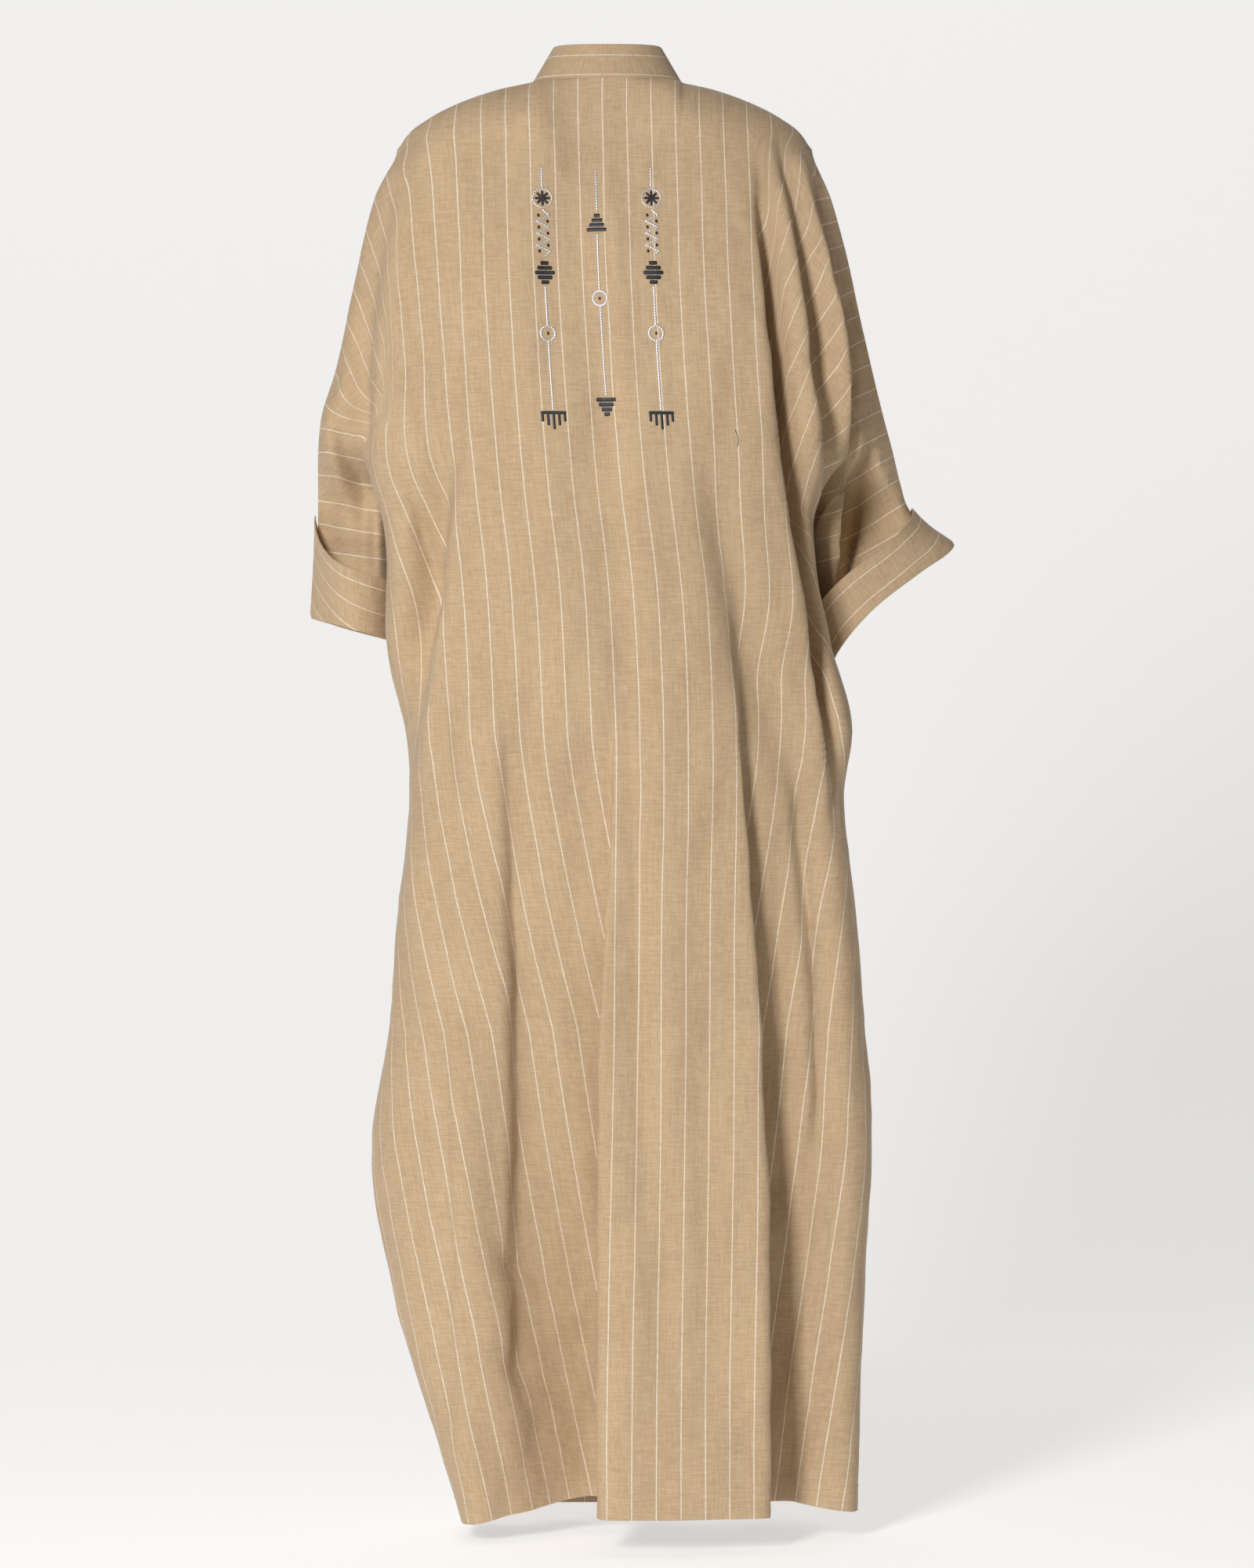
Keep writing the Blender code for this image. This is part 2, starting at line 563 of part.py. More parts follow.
def sleeve_surface(back, front, columns, own, leftward):
    """The lattice round one sleeve: over the back from the body to the over-arm seam, and on round
    the front to the body again, all rows as far as the sleeve end."""
    sign = 1.0 if leftward else -1.0
    end = len(UPPER_ROWS)
    over = np.where(columns * sign > SLEEVE_SHARE - 1e-6)[0]
    over = over[np.argsort(np.abs(columns[over]))]
    under = np.where(own > SLEEVE_SHARE - 1e-6)[0][::-1]
    return np.concatenate([back[:end, over], front[:end, under[1:]]], axis=1)


def build_cuff(name, side, sleeve, shade):
    """Cuff: a closed loop of cloth that turns out under the sleeve end, then rises and flares."""
    end, top = SLEEVE_END[side], CUFF_TOP[side]
    count = sleeve.shape[1] - 1
    turn = np.arange(count) / count * 2
    round_it = np.where(turn <= 1, turn, 2 - turn)
    outwards = (1 - np.cos(np.pi * round_it)) / 2
    highest = top["inner"] + (top["tip"] - top["inner"]) * outwards ** top["bend"]
    rise = np.linspace(CUFF_FIRST_ROW, 1, CUFF_ROWS)
    points = np.zeros((CUFF_ROWS, count, 3))
    for k in range(count):
        line = sleeve[::-1, k]
        heights = line[0, 2] + (highest[k] - line[0, 2]) * rise
        for axis in range(3):
            points[:, k, axis] = np.interp(heights, line[:, 2], line[:, axis])
    ahead = np.roll(points, -1, axis=1) - np.roll(points, 1, axis=1)
    normal = unit(np.cross(ahead, np.gradient(points, axis=0)))
    outward = np.sign(np.sum(normal * (points - points.mean(axis=1, keepdims=True))))
    normal = normal * outward
    flare = CUFF_FLARE * rise[:, None] ** FLARE_GROWTH * smooth((outwards - 0.2) / 0.5)
    fold = sleeve[-1, :-1]
    onward = unit(fold - sleeve[-2, :-1])
    points = np.concatenate([
        (fold + onward * CUFF_START)[None],
        (fold + onward * CUFF_FOLD + normal[0] * CUFF_CLEARANCE * 0.6)[None],
        points + normal * (CUFF_CLEARANCE + flare)[..., None]])
    ring_wall(name, points if outward > 0 else points[:, ::-1], shade)


def ring_wall(name, points, shade):
    """Make a closed ring of cloth from its points, row by row."""
    rows, columns, _ = points.shape
    index = np.arange(rows * columns).reshape(rows, columns)
    across = np.roll(index, -1, axis=1)
    faces = np.stack([index[:-1], across[:-1], across[1:], index[1:]], axis=-1).reshape(-1, 4)
    close_cloth(name, points.reshape(-1, 3), corner_normals(points, faces), faces, shade)


def band_panel(name, neck, edge, leftward, shade):
    """Half of the neck band: it stands round half the neck, then lies down along a front edge."""
    path = np.vstack([neck, edge[1:]])
    steps = np.linalg.norm(np.diff(path, axis=0), axis=1)
    far = np.concatenate([[0.0], np.cumsum(steps)])
    neck_length = far[len(neck) - 1]
    side = 1.0 if leftward else -1.0
    inward = unit(np.stack([-path[:, 0], BAND_CENTRE_Y - path[:, 1], 0 * path[:, 2]], axis=1))
    lean = BAND_BACK_LEAN + (BAND_SIDE_LEAN - BAND_BACK_LEAN) * smooth(far / neck_length)
    standing = unit(inward * lean[:, None] + np.array([0.0, 0.0, 1.0]) * (1 - lean[:, None] * 0.4))
    way = unit(np.gradient(path, axis=0))
    lying = np.tile(np.array([-side, 0.0, 0.0]), (len(path), 1))
    lying = unit(lying - way * np.sum(lying * way, axis=1, keepdims=True))
    turned = smooth((far - neck_length - BAND_STANDS) / BAND_TURN)[:, None]
    direction = unit(standing * (1 - turned) + lying * turned)
    points = path[:, None, :] + direction[:, None, :] * np.linspace(0, BAND_WIDTH, 4)[None, :, None]
    trim = np.zeros(points.shape[:2])
    trim[:, 0] = SEAM_GAP / 2
    trim[0] = SEAM_GAP / 2
    if not leftward:
        points, trim = points[:, ::-1], trim[:, ::-1]
    keep = np.ones((points.shape[0] - 1, points.shape[1] - 1), dtype=bool)
    return {"name": name, "points": points, "keep": keep, "trim": trim, "shade": shade}


def main():
    for item in list(bpy.data.objects):
        bpy.data.objects.remove(item, do_unlink=True)

    rows = len(UPPER_ROWS) + LOWER_ROWS
    sleeve = np.linspace(SLEEVE_SHARE, 1, SLEEVE_COLUMNS + 1)
    columns = np.concatenate([-sleeve[::-1], body_columns(), sleeve])
    fine = np.linspace(-1, 1, int(round(2 / FINE_STEP)) + 1)
    back_fine = lay_panel(np.tile(fine, (rows, 1)), 1, BACK_FOLDS)
    back = pick(back_fine, fine, columns)
    trim = np.zeros(back.shape[:2])
    trim[0, np.abs(columns) < NECK_SHARE + 1e-6] = SEAM_GAP / 2
    panels = [{"name": "back", "points": back, "keep": kept_cells(rows, columns), "trim": trim,
               "shade": 1.0}]

    for side, folds, shade in (("left", LEFT_FRONT_FOLDS, 0.93), ("right", RIGHT_FRONT_FOLDS, 0.96)):
        leftward = side == "left"
        sign = 1.0 if leftward else -1.0
        own = np.sort(np.abs(columns[columns * sign > NECK_SHARE - 1e-6]))
        even = np.linspace(NECK_SHARE, 1, int(round((1 - NECK_SHARE) / FINE_STEP)) + 1)
        front_fine = lay_panel(front_shares(even, leftward) * sign, -1, folds)
        front = pick(front_fine, even, own)
        keep = kept_cells(rows, own)
        trim = np.zeros(front.shape[:2])
        trim[:, 0] = SEAM_GAP / 2
        trim[:3, 0] = NECK_CORNER_TRIM

        neck = back[0, (columns * sign >= -1e-9) & (np.abs(columns) < NECK_SHARE + 1e-6)]
        neck = neck[np.argsort(np.abs(neck[:, 0]))]
        panels.append(band_panel("band_" + side, neck, front[:, 0], leftward, 1.08))
        build_cuff("cuff_" + side, side, sleeve_surface(back, front, columns, own, leftward), 1.04)
        if leftward:
            front, keep, trim = front[:, ::-1], keep[:, ::-1], trim[:, ::-1]
        panels.append({"name": "front_" + side, "points": front, "keep": keep, "trim": trim,
                       "shade": shade})
    sewn(panels)


main()
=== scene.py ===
import math

import bpy
import numpy as np
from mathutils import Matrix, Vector


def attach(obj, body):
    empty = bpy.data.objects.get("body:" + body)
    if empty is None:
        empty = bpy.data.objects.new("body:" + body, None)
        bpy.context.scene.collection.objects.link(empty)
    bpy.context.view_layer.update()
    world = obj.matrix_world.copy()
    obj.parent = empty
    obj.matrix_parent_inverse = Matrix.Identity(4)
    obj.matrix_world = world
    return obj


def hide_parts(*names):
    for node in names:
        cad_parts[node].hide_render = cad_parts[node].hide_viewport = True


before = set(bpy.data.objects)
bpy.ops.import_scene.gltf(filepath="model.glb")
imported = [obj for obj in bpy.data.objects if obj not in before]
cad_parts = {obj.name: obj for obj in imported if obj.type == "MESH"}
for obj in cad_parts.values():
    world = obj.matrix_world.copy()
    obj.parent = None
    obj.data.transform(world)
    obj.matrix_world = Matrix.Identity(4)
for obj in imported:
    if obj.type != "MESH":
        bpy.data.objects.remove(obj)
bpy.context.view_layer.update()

# A kaftan of striped linen in its worn form, seen from behind. x grows to the wearer's left, y to the
# back and z up, in metres from the middle of the neck. A share is a place across half a panel, 0 at the
# middle and 1 at the over-arm seam, and down is 0 at the shoulder, 1 at the sleeve's end, 2 at the hem.

cloth = {
    "wall": 0.0011, "seamGap": 0.0003, "stripePitch": 0.0245,
    "neckShare": 0.235, "ridgeShare": 0.62, "sideShare": 0.70, "sleeveShare": 0.73,
    "splitStart": 0.50, "splitDone": 0.78, "underarm": 0.83,  # where body and sleeve part, in down
    "neckHalf": 0.076, "neckSideY": -0.005, "neckBackY": 0.062, "neckBackDrop": 0.006,
    "shoulderBow": 0.85, "shoulderRound": 0.060, "roundness": 0.62,
    "napeRound": 0.170, "napeReach": 0.072, "napeFade": 0.066,
    "armhole": 0.050, "armholeTop": 0.45, "tuckWidth": 0.012, "frontFull": 2.0,
    "endAtBody": -0.575, "hem": -1.468,
    "foldStart": 0.05, "sideTaper": 0.11, "sideCalm": 0.03, "armTaper": 0.12, "endTaper": 0.16,
    "roundReach": 7, "roundSpread": 1.8, "roundUntil": 1.25, "roundFade": 0.25,
    "partBefore": 0.05, "partFade": 0.04, "seamBelow": 0.01,
    "fineStep": 0.0025, "bodyColumns": 210, "frontColumns": 96, "sleeveColumns": 26,
    "topRows": 16, "topShare": 0.12, "upperRows": 64, "lowerRows": 118,
}

# End of each sleeve: heights beside the body and at the over-arm seam, swell to the back and front, and
# the powers that shape its line and the swell of its back
sleeveEnd = {
    "left": {"inner": -0.570, "tip": -0.544, "back": 0.046, "front": 0.062, "bow": 1.0, "full": 2.0},
    "right": {"inner": -0.606, "tip": -0.469, "back": 0.052, "front": 0.046, "bow": 0.79, "full": 1.3},
}


# Turn rows of sizes under named columns into one array for each column.
def sizes(columns, rows):
    values = np.array(rows, dtype=float)
    return {name: values[:, k] for k, name in enumerate(columns.split())}


# Outer line of the sleeves and shoulders
arm = sizes("height left right", (
    (-0.070, 0.2144, 0.2085),
    (-0.118, 0.2350, 0.2268),
    (-0.166, 0.2480, 0.2410),
    (-0.254, 0.2672, 0.2608),
    (-0.302, 0.2786, 0.2730),
    (-0.342, 0.2914, 0.2842),
    (-0.372, 0.2954, 0.2932),
    (-0.410, 0.2966, 0.3032),
    (-0.429, 0.2968, 0.3092),
    (-0.440, 0.2970, 0.3160),
    (-0.455, 0.2974, 0.3285),
    (-0.469, 0.2976, 0.3455),
    (-0.544, 0.3006, 0.3550)))

# Loop of the body
body = sizes("height left right back front side ridge tuck", (
    (-0.070, 0.200, 0.204, 0.090, 0.085, -0.005, 0.030, 0.000),
    (-0.200, 0.235, 0.215, 0.116, 0.122, -0.008, 0.030, 0.000),
    (-0.300, 0.252, 0.226, 0.122, 0.142, -0.012, 0.040, 0.002),
    (-0.366, 0.254, 0.232, 0.124, 0.146, -0.020, 0.045, 0.006),
    (-0.438, 0.230, 0.210, 0.126, 0.146, -0.034, 0.050, 0.016),
    (-0.494, 0.2248, 0.2130, 0.128, 0.143, -0.044, 0.055, 0.022),
    (-0.575, 0.2248, 0.2290, 0.130, 0.140, -0.050, 0.055, 0.022),
    (-0.660, 0.2080, 0.2480, 0.130, 0.136, -0.045, 0.048, 0.012),
    (-0.726, 0.2018, 0.2400, 0.128, 0.133, -0.036, 0.034, 0.000),
    (-0.840, 0.2120, 0.2530, 0.128, 0.132, -0.030, 0.022, 0.000),
    (-0.960, 0.2217, 0.2626, 0.129, 0.132, -0.028, 0.020, 0.000),
    (-1.080, 0.2384, 0.2690, 0.130, 0.132, -0.026, 0.020, 0.000),
    (-1.230, 0.2160, 0.2600, 0.132, 0.132, -0.020, 0.020, 0.000),
    (-1.370, 0.1776, 0.2560, 0.134, 0.132, -0.008, 0.020, 0.000),
    (-1.468, 0.1480, 0.2541, 0.136, 0.132, 0.000, 0.020, 0.000)))

shoulder = sizes("out drop", (
    (0.076, 0.003), (0.108, 0.0105), (0.140, 0.0225), (0.172, 0.0385), (0.196, 0.0540), (0.210, 0.0700)))

backHem = sizes("across height", (
    (-0.2541, -1.456), (-0.190, -1.446), (-0.155, -1.449), (-0.010, -1.449), (0.022, -1.445),
    (0.148, -1.467)))

frontEdge = sizes("height out", (
    (0.000, 0.0760), (-0.040, 0.0735), (-0.100, 0.0650), (-0.200, 0.0580), (-0.400, 0.0535),
    (-1.468, 0.0520)))

# Place of the centre thread at each height, and length of cloth from it to the over-arm seam
threadLine = sizes("height across", (
    (-0.038, 0.005), (-0.230, -0.001), (-0.422, -0.0145), (-0.518, -0.0255), (-0.614, -0.031),
    (-0.902, -0.0317), (-1.382, -0.0247), (-1.468, -0.0245)))
armLength = sizes("height left right", (
    (-0.0656, 0.2205, 0.2290), (-0.330, 0.441, 0.4495), (-0.630, 0.738, 0.7465)))

# Folds: the side that each looks to, the reach of its narrow and wide halves, the lean of its crest,
# and its edge and depth at three heights
foldColumns = ("toward narrow reach lean highZ highX highDepth midZ midX midDepth "
               "lowZ lowX lowDepth")
backFolds = sizes(foldColumns, (
    (1, 0.009, 0.105, 0.022, -0.640, -0.012, 0.004, -1.060, -0.006, 0.066, -1.468, -0.004, 0.152),
    (-1, 0.008, 0.080, 0.022, -0.560, -0.124, 0.012, -1.060, -0.142, 0.060, -1.468, -0.149, 0.110),
    (-1, 0.007, 0.017, 0.016, -0.130, -0.146, 0.014, -0.330, -0.157, 0.058, -0.715, -0.2206, 0.026),
    (1, 0.010, 0.034, 0.010, -0.380, 0.146, 0.006, -0.560, 0.166, 0.046, -0.715, 0.190, 0.024),
    (1, 0.009, 0.026, 0.008, -0.100, 0.205, 0.002, -0.270, 0.228, 0.024, -0.420, 0.234, 0.022),
    (-1, 0.007, 0.022, 0.012, -0.070, -0.166, 0.008, -0.220, -0.1915, 0.032, -0.390, -0.2135, 0.044),
    (-1, 0.007, 0.034, 0.012, -0.070, -0.193, 0.008, -0.290, -0.239, 0.048, -0.500, -0.234, 0.040),
    (1, 0.022, 0.034, 0.000, -0.090, 0.018, 0.004, -0.370, -0.026, 0.010, -0.700, -0.046, 0.006),
    (-1, 0.009, 0.036, 0.004, -0.640, 0.112, 0.005, -0.900, 0.102, 0.018, -1.300, 0.098, 0.012),
    (-1, 0.018, 0.030, 0.000, -0.370, -0.072, 0.004, -0.560, -0.114, 0.015, -0.720, -0.158, 0.010),
    (-1, 0.008, 0.022, 0.004, -0.680, -0.176, 0.006, -0.830, -0.190, 0.016, -1.080, -0.206, 0.010),
    (1, 0.010, 0.018, 0.000, -0.620, -0.036, 0.003, -0.800, -0.042, 0.009, -1.180, -0.050, 0.003),
    (1, 0.007, 0.020, 0.000, -0.110, 0.000, 0.002, -0.200, -0.009, 0.003, -0.330, -0.018, 0.001),
    (1, 0.009, 0.040, 0.002, -0.820, 0.150, 0.001, -1.150, 0.150, 0.010, -1.390, 0.148, 0.012),
    (1, 0.009, 0.030, 0.002, -0.230, 0.140, 0.002, -0.360, 0.137, 0.008, -0.480, 0.150, 0.005)))
leftFrontFolds = sizes(foldColumns, (
    (-1, 0.022, 0.036, 0.004, -0.240, 0.122, 0.004, -0.900, 0.125, 0.026, -1.468, 0.122, 0.050),
    (1, 0.016, 0.040, 0.006, -0.200, 0.165, 0.006, -0.420, 0.168, 0.028, -0.640, 0.175, 0.010)))
rightFrontFolds = sizes(foldColumns, (
    (1, 0.022, 0.036, 0.004, -0.260, -0.126, 0.004, -0.900, -0.130, 0.026, -1.468, -0.136, 0.050),
    (-1, 0.022, 0.030, 0.004, -0.700, -0.190, 0.004, -1.100, -0.200, 0.024, -1.468, -0.200, 0.040),
    (-1, 0.016, 0.040, 0.006, -0.180, -0.170, 0.006, -0.420, -0.178, 0.026, -0.640, -0.190, 0.010)))

# Creases laid over the folds: the ends of each, its half width and its depth, below 0 for a ridge
creaseColumns = "fromX fromZ toX toZ width depth"
backCreases = sizes(creaseColumns, (
    (0.060, -0.150, 0.050, -0.420, 0.016, 0.0016),
    (-0.060, -0.120, -0.072, -0.400, 0.015, 0.0018),
    (0.202, -0.290, 0.168, -0.410, 0.006, 0.0026),
    (0.214, -0.350, 0.182, -0.480, 0.006, 0.0030),
    (0.190, -0.440, 0.160, -0.560, 0.007, 0.0024),
    (0.208, -0.210, 0.182, -0.300, 0.006, 0.0018),
    (0.176, -0.600, 0.150, -0.760, 0.008, 0.0030),
    (-0.196, -0.740, -0.212, -1.000, 0.006, -0.0030),
    (-0.168, -0.790, -0.184, -1.060, 0.006, 0.0028),
    (-0.214, -1.020, -0.190, -1.280, 0.008, 0.0035),
    (-0.228, -1.080, -0.222, -1.380, 0.009, 0.0030),
    (0.112, -1.190, 0.028, -1.245, 0.013, 0.0040),
    (0.120, -1.290, 0.046, -1.330, 0.015, 0.0030),
    (0.036, -1.243, 0.027, -1.236, 0.0022, 0.0016),
    (-0.046, -0.900, -0.052, -1.300, 0.020, 0.0022),
    (0.020, -0.560, 0.030, -0.900, 0.018, 0.0020),
    (0.066, -0.470, 0.078, -0.800, 0.015, 0.0022),
    (-0.100, -0.980, -0.108, -1.380, 0.016, 0.0018)))
frontCreases = sizes(creaseColumns, (
    (0.090, -0.180, 0.110, -0.420, 0.014, 0.0024),
    (0.140, -0.460, 0.120, -0.700, 0.010, 0.0030),
    (0.100, -0.760, 0.094, -1.150, 0.014, 0.0030),
    (0.200, -0.330, 0.170, -0.480, 0.007, 0.0028),
    (0.170, -0.850, 0.150, -1.200, 0.012, 0.0030),
    (-0.088, -0.220, -0.104, -0.460, 0.013, 0.0026),
    (-0.150, -0.500, -0.126, -0.760, 0.011, 0.0030),
    (-0.096, -0.840, -0.090, -1.260, 0.014, 0.0028),
    (-0.210, -0.360, -0.180, -0.500, 0.007, 0.0030),
    (-0.186, -0.900, -0.160, -1.320, 0.012, 0.0032)))


# Rise from 0 to 1 as the value does, level at both ends: t squared times (3 - 2t).
def smooth(value):
    value = np.clip(value, 0.0, 1.0)
    return value * value * (3.0 - 2.0 * value)


# Smooth curve through sizes given at places: a cubic on each step, sharing the slope at its ends.
def through(at, places, given):
    order = np.argsort(places)
    places, given = places[order], given[order]
    slopes = np.gradient(given, places)
    at = np.clip(at, places[0], places[-1])
    k = np.clip(np.searchsorted(places, at) - 1, 0, len(places) - 2)
    step = places[k + 1] - places[k]
    t = (at - places[k]) / step
    return (given[k] * (1 + 2 * t) * (1 - t) ** 2 + given[k + 1] * t * t * (3 - 2 * t)
            + step * (slopes[k] * t * (1 - t) ** 2 - slopes[k + 1] * t * t * (1 - t)))


# 1 between two heights: it fades in below the top and out again above the bottom.
def between(z, top, topFade, bottom, bottomFade):
    return smooth((top - z) / topFade) * smooth((z - bottom) / bottomFade)


# Vectors divided by their length.
def unit(vectors):
    return vectors / np.maximum(np.linalg.norm(vectors, axis=-1, keepdims=True), 1e-12)


# Size at a height, read in the column of the side that a point is on.
def bySide(leftward, given, z):
    left = through(z, given["height"], given["left"])
    right = through(z, given["height"], given["right"])
    return np.where(leftward, left, right)


# Size of the sleeve's end on the side that a point is on.
def atSleeveEnd(leftward, key):
    return np.where(leftward, sleeveEnd["left"][key], sleeveEnd["right"][key])


# The neck curve and the shoulder seam: half an ellipse round the neck, then out and down the shoulder.
def topLine(share, leftward, face):
    neck, half = cloth["neckShare"], cloth["neckHalf"]
    reach = bySide(leftward, arm, np.full_like(share, arm["height"][0]))
    beyond = np.clip((share - neck) / (1 - neck), 0, 1)
    out = half * np.sin(np.pi / 2 * share) / np.sin(np.pi / 2 * neck)
    out = np.where(share < neck, out, half + (reach - half) * beyond ** cloth["shoulderBow"])
    drop = through(out * shoulder["out"][-1] / reach, shoulder["out"], shoulder["drop"])
    neckDrop = cloth["neckBackDrop"] + (shoulder["drop"][0] - cloth["neckBackDrop"]) * (out / half) ** 2
    drop = np.where(out < half, neckDrop, drop)
    across = np.sqrt(np.clip(1.0 - (out / half) ** 2, 0.0, 1.0))
    backY = cloth["neckSideY"] + (cloth["neckBackY"] - cloth["neckSideY"]) * across
    return out, np.where(face > 0, backY, cloth["neckSideY"]), -drop


# Form of the folds: heights over which they fade, the lowest end that fades, and in half widths the
# places of crest and floor and the floor's width, with the floor's share of the lean
foldForm = {"above": 0.06, "below": 0.07, "fade": 0.12, "lowest": -1.4, "edge": 1.3, "crest": 1.5,
            "floor": 1.6, "floorLean": 0.6, "fullDepth": 0.05}


# Push and lean of the folds: each is a bell, narrow before its edge and wide behind it, and the
# crest is drawn sideways over the hollow.
def foldShift(x, z, folds):
    push = np.zeros_like(x)
    lean = np.zeros_like(x)
    for k in range(len(folds["toward"])):
        row = {name: values[k] for name, values in folds.items()}
        heights = np.array([row["highZ"], row["midZ"], row["lowZ"]])
        edge = through(z, heights, np.array([row["highX"], row["midX"], row["lowX"]]))
        depth = through(z, heights, np.array([row["highDepth"], row["midDepth"], row["lowDepth"]]))
        depth = depth * smooth((row["highZ"] + foldForm["above"] - z) / foldForm["fade"])
        if row["lowZ"] > foldForm["lowest"]:
            depth = depth * smooth((z - row["lowZ"] + foldForm["below"]) / foldForm["fade"])
        past = row["toward"] * (x - edge) - foldForm["edge"] * row["narrow"]
        width = np.where(past < 0, row["narrow"], row["reach"])
        crest = np.exp(-((past + foldForm["crest"] * row["narrow"]) / row["narrow"]) ** 2)
        floor = np.exp(-(past / (foldForm["floor"] * row["narrow"])) ** 2)
        push = push + depth * np.exp(-(past / width) ** 2)
        leaning = row["toward"] * row["lean"] * np.clip(depth / foldForm["fullDepth"], 0, 1)
        lean = lean + leaning * (crest - foldForm["floorLean"] * floor)
    return push, lean


# The right sleeve turns forward: its seams are that much further to the front between two heights.
sleeveTurn = {"forward": 0.042, "top": -0.24, "fadeIn": 0.16, "bottom": -0.700, "fadeOut": 0.14}


# Points of a panel. One wide loop, a superellipse, turns with depth into the loop of the body, a
# short tuck and the loop of the sleeve.
def placeCloth(share, leftward, face, z, down):
    ridge, sideShare, sleeve = cloth["ridgeShare"], cloth["sideShare"], cloth["sleeveShare"]
    sideY = through(z, body["height"], body["side"])
    turned = between(z, sleeveTurn["top"], sleeveTurn["fadeIn"],
                     sleeveTurn["bottom"], sleeveTurn["fadeOut"])
    sideY = sideY - np.where(leftward, 0.0, sleeveTurn["forward"] * turned)
    depth = through(z, body["height"], body["back" if face > 0 else "front"]) * face
    ridgeY = sideY + face * through(z, body["height"], body["ridge"])
    tuck = through(z, body["height"], body["tuck"])
    bodyHalf = bySide(leftward, body, z)
    armHalf = bySide(leftward, arm, z)
    split = smooth((down - cloth["splitStart"]) / (cloth["splitDone"] - cloth["splitStart"]))

    turn = np.pi / 2 * share
    wideX = armHalf * np.sin(turn)
    wideY = sideY + (depth - sideY) * np.abs(np.cos(turn)) ** cloth["roundness"]

    turn = np.pi / 2 * np.clip(share / ridge, 0, 1)
    behind = np.clip((share - ridge) / (sideShare - ridge), 0, 1)
    part = smooth((down - cloth["armholeTop"]) / (cloth["underarm"] - cloth["armholeTop"]))
    seamEnd = cloth["underarm"] + cloth["seamBelow"]
    seamHalf = np.where(down > seamEnd, 0.0, cloth["wall"] / 2 + cloth["seamGap"])
    seamY = sideY + face * (cloth["armhole"] * (1 - part) + seamHalf)
    bodyX = bodyHalf * np.sin(turn) - tuck * smooth(behind)
    bodyY = ridgeY + (depth - ridgeY) * np.abs(np.cos(turn)) ** cloth["roundness"]
    bodyY = bodyY + (seamY - ridgeY) * behind

    tucked = np.clip((share - sideShare) / (sleeve - sideShare), 0, 1)
    roundIt = np.clip((share - sleeve) / (1 - sleeve), 0, 1)
    inner = bodyHalf - tuck + cloth["tuckWidth"]
    swell = atSleeveEnd(leftward, "back" if face > 0 else "front") * face
    sleeveX = inner + (armHalf - inner) * (1 - np.cos(np.pi * roundIt)) / 2
    fullness = atSleeveEnd(leftward, "full") if face > 0 else cloth["frontFull"]
    sleeveY = seamY * (1 - roundIt) + sideY * roundIt + swell * np.sin(np.pi * roundIt) ** fullness
    splitX = np.where(share <= sideShare, bodyX, bodyHalf - tuck + cloth["tuckWidth"] * tucked)
    splitX = np.where(share >= sleeve, sleeveX, splitX)
    splitY = np.where(share >= sideShare, sleeveY, bodyY)
    x = wideX + (splitX - wideX) * split
    y = wideY + (splitY - wideY) * split

    out, topY, topZ = topLine(share, leftward, face)
    nearNeck = smooth((cloth["napeReach"] - out) / cloth["napeFade"])
    rounding = cloth["shoulderRound"] + (cloth["napeRound"] - cloth["shoulderRound"]) * nearNeck
    q = np.clip((topZ - z) / rounding, 0, 1)
    ramp = np.sqrt(1 - (1 - q) ** 2) * (1 - nearNeck) + np.sin(np.pi / 2 * q) * nearNeck
    return out + (x - out) * ramp, topY + (y - topY) * ramp, split


# Strength of the folds by the seams: down to 0 at the over-arm seam and, once parted, at the side.
def seamTaper(share, split):
    atSide = smooth((np.abs(share - cloth["sideShare"]) - cloth["sideCalm"]) / cloth["sideTaper"])
    return smooth((1 - share) / cloth["armTaper"]) * (1 + (atSide - 1) * split)


# Each turn of a section rounded a little: a weighted mean over the columns beside each point.
def rounded(points, share, split):
    reach = cloth["roundReach"]
    spread = np.arange(-reach, reach + 1)
    weights = np.exp(-(spread / cloth["roundSpread"]) ** 2)
    weights = weights / weights.sum()
    count = points.shape[1]
    result = np.zeros_like(points)
    for offset, weight in zip(spread, weights):
        result += weight * points[:, np.clip(np.arange(count) + offset, 0, count - 1)]
    ends = smooth(np.minimum(np.arange(count), np.arange(count)[::-1]) / (2.0 * reach))
    parted = smooth((share - cloth["sideShare"] + cloth["partBefore"]) / cloth["partFade"]) * split
    return points + (result - points) * (ends[None, :] * (1 - parted))[..., None]


# Height of the sleeve's end: it rises as a half wave from beside the body to the over-arm seam.
def sleeveHeights(share, leftward):
    sleeve = cloth["sleeveShare"]
    roundIt = np.clip((share - sleeve) / (1 - sleeve), 0, 1)
    rise = (1 - np.cos(np.pi * roundIt)) / 2
    inner, tip = atSleeveEnd(leftward, "inner"), atSleeveEnd(leftward, "tip")
    start = np.where(share > (cloth["sideShare"] + sleeve) / 2, inner, cloth["endAtBody"])
    return start + (tip - start) * rise ** atSleeveEnd(leftward, "bow")


# Shares of the way down of every row: crowded where the shoulder turns over, then even.
topTurn = np.linspace(0, np.pi / 2, cloth["topRows"])
upperDown = np.concatenate([cloth["topShare"] * (1 - np.cos(topTurn)),
                            np.linspace(cloth["topShare"], 1, cloth["upperRows"] + 1)[1:]])
upperDown[np.argmin(np.abs(upperDown - cloth["underarm"]))] = cloth["underarm"]
lowerDown = np.arange(1, cloth["lowerRows"] + 1) / cloth["lowerRows"]
allDown = np.concatenate([upperDown, 1 + lowerDown])
endRow = len(upperDown) - 1
underarmRow = int(np.argmin(np.abs(upperDown - cloth["underarm"])))


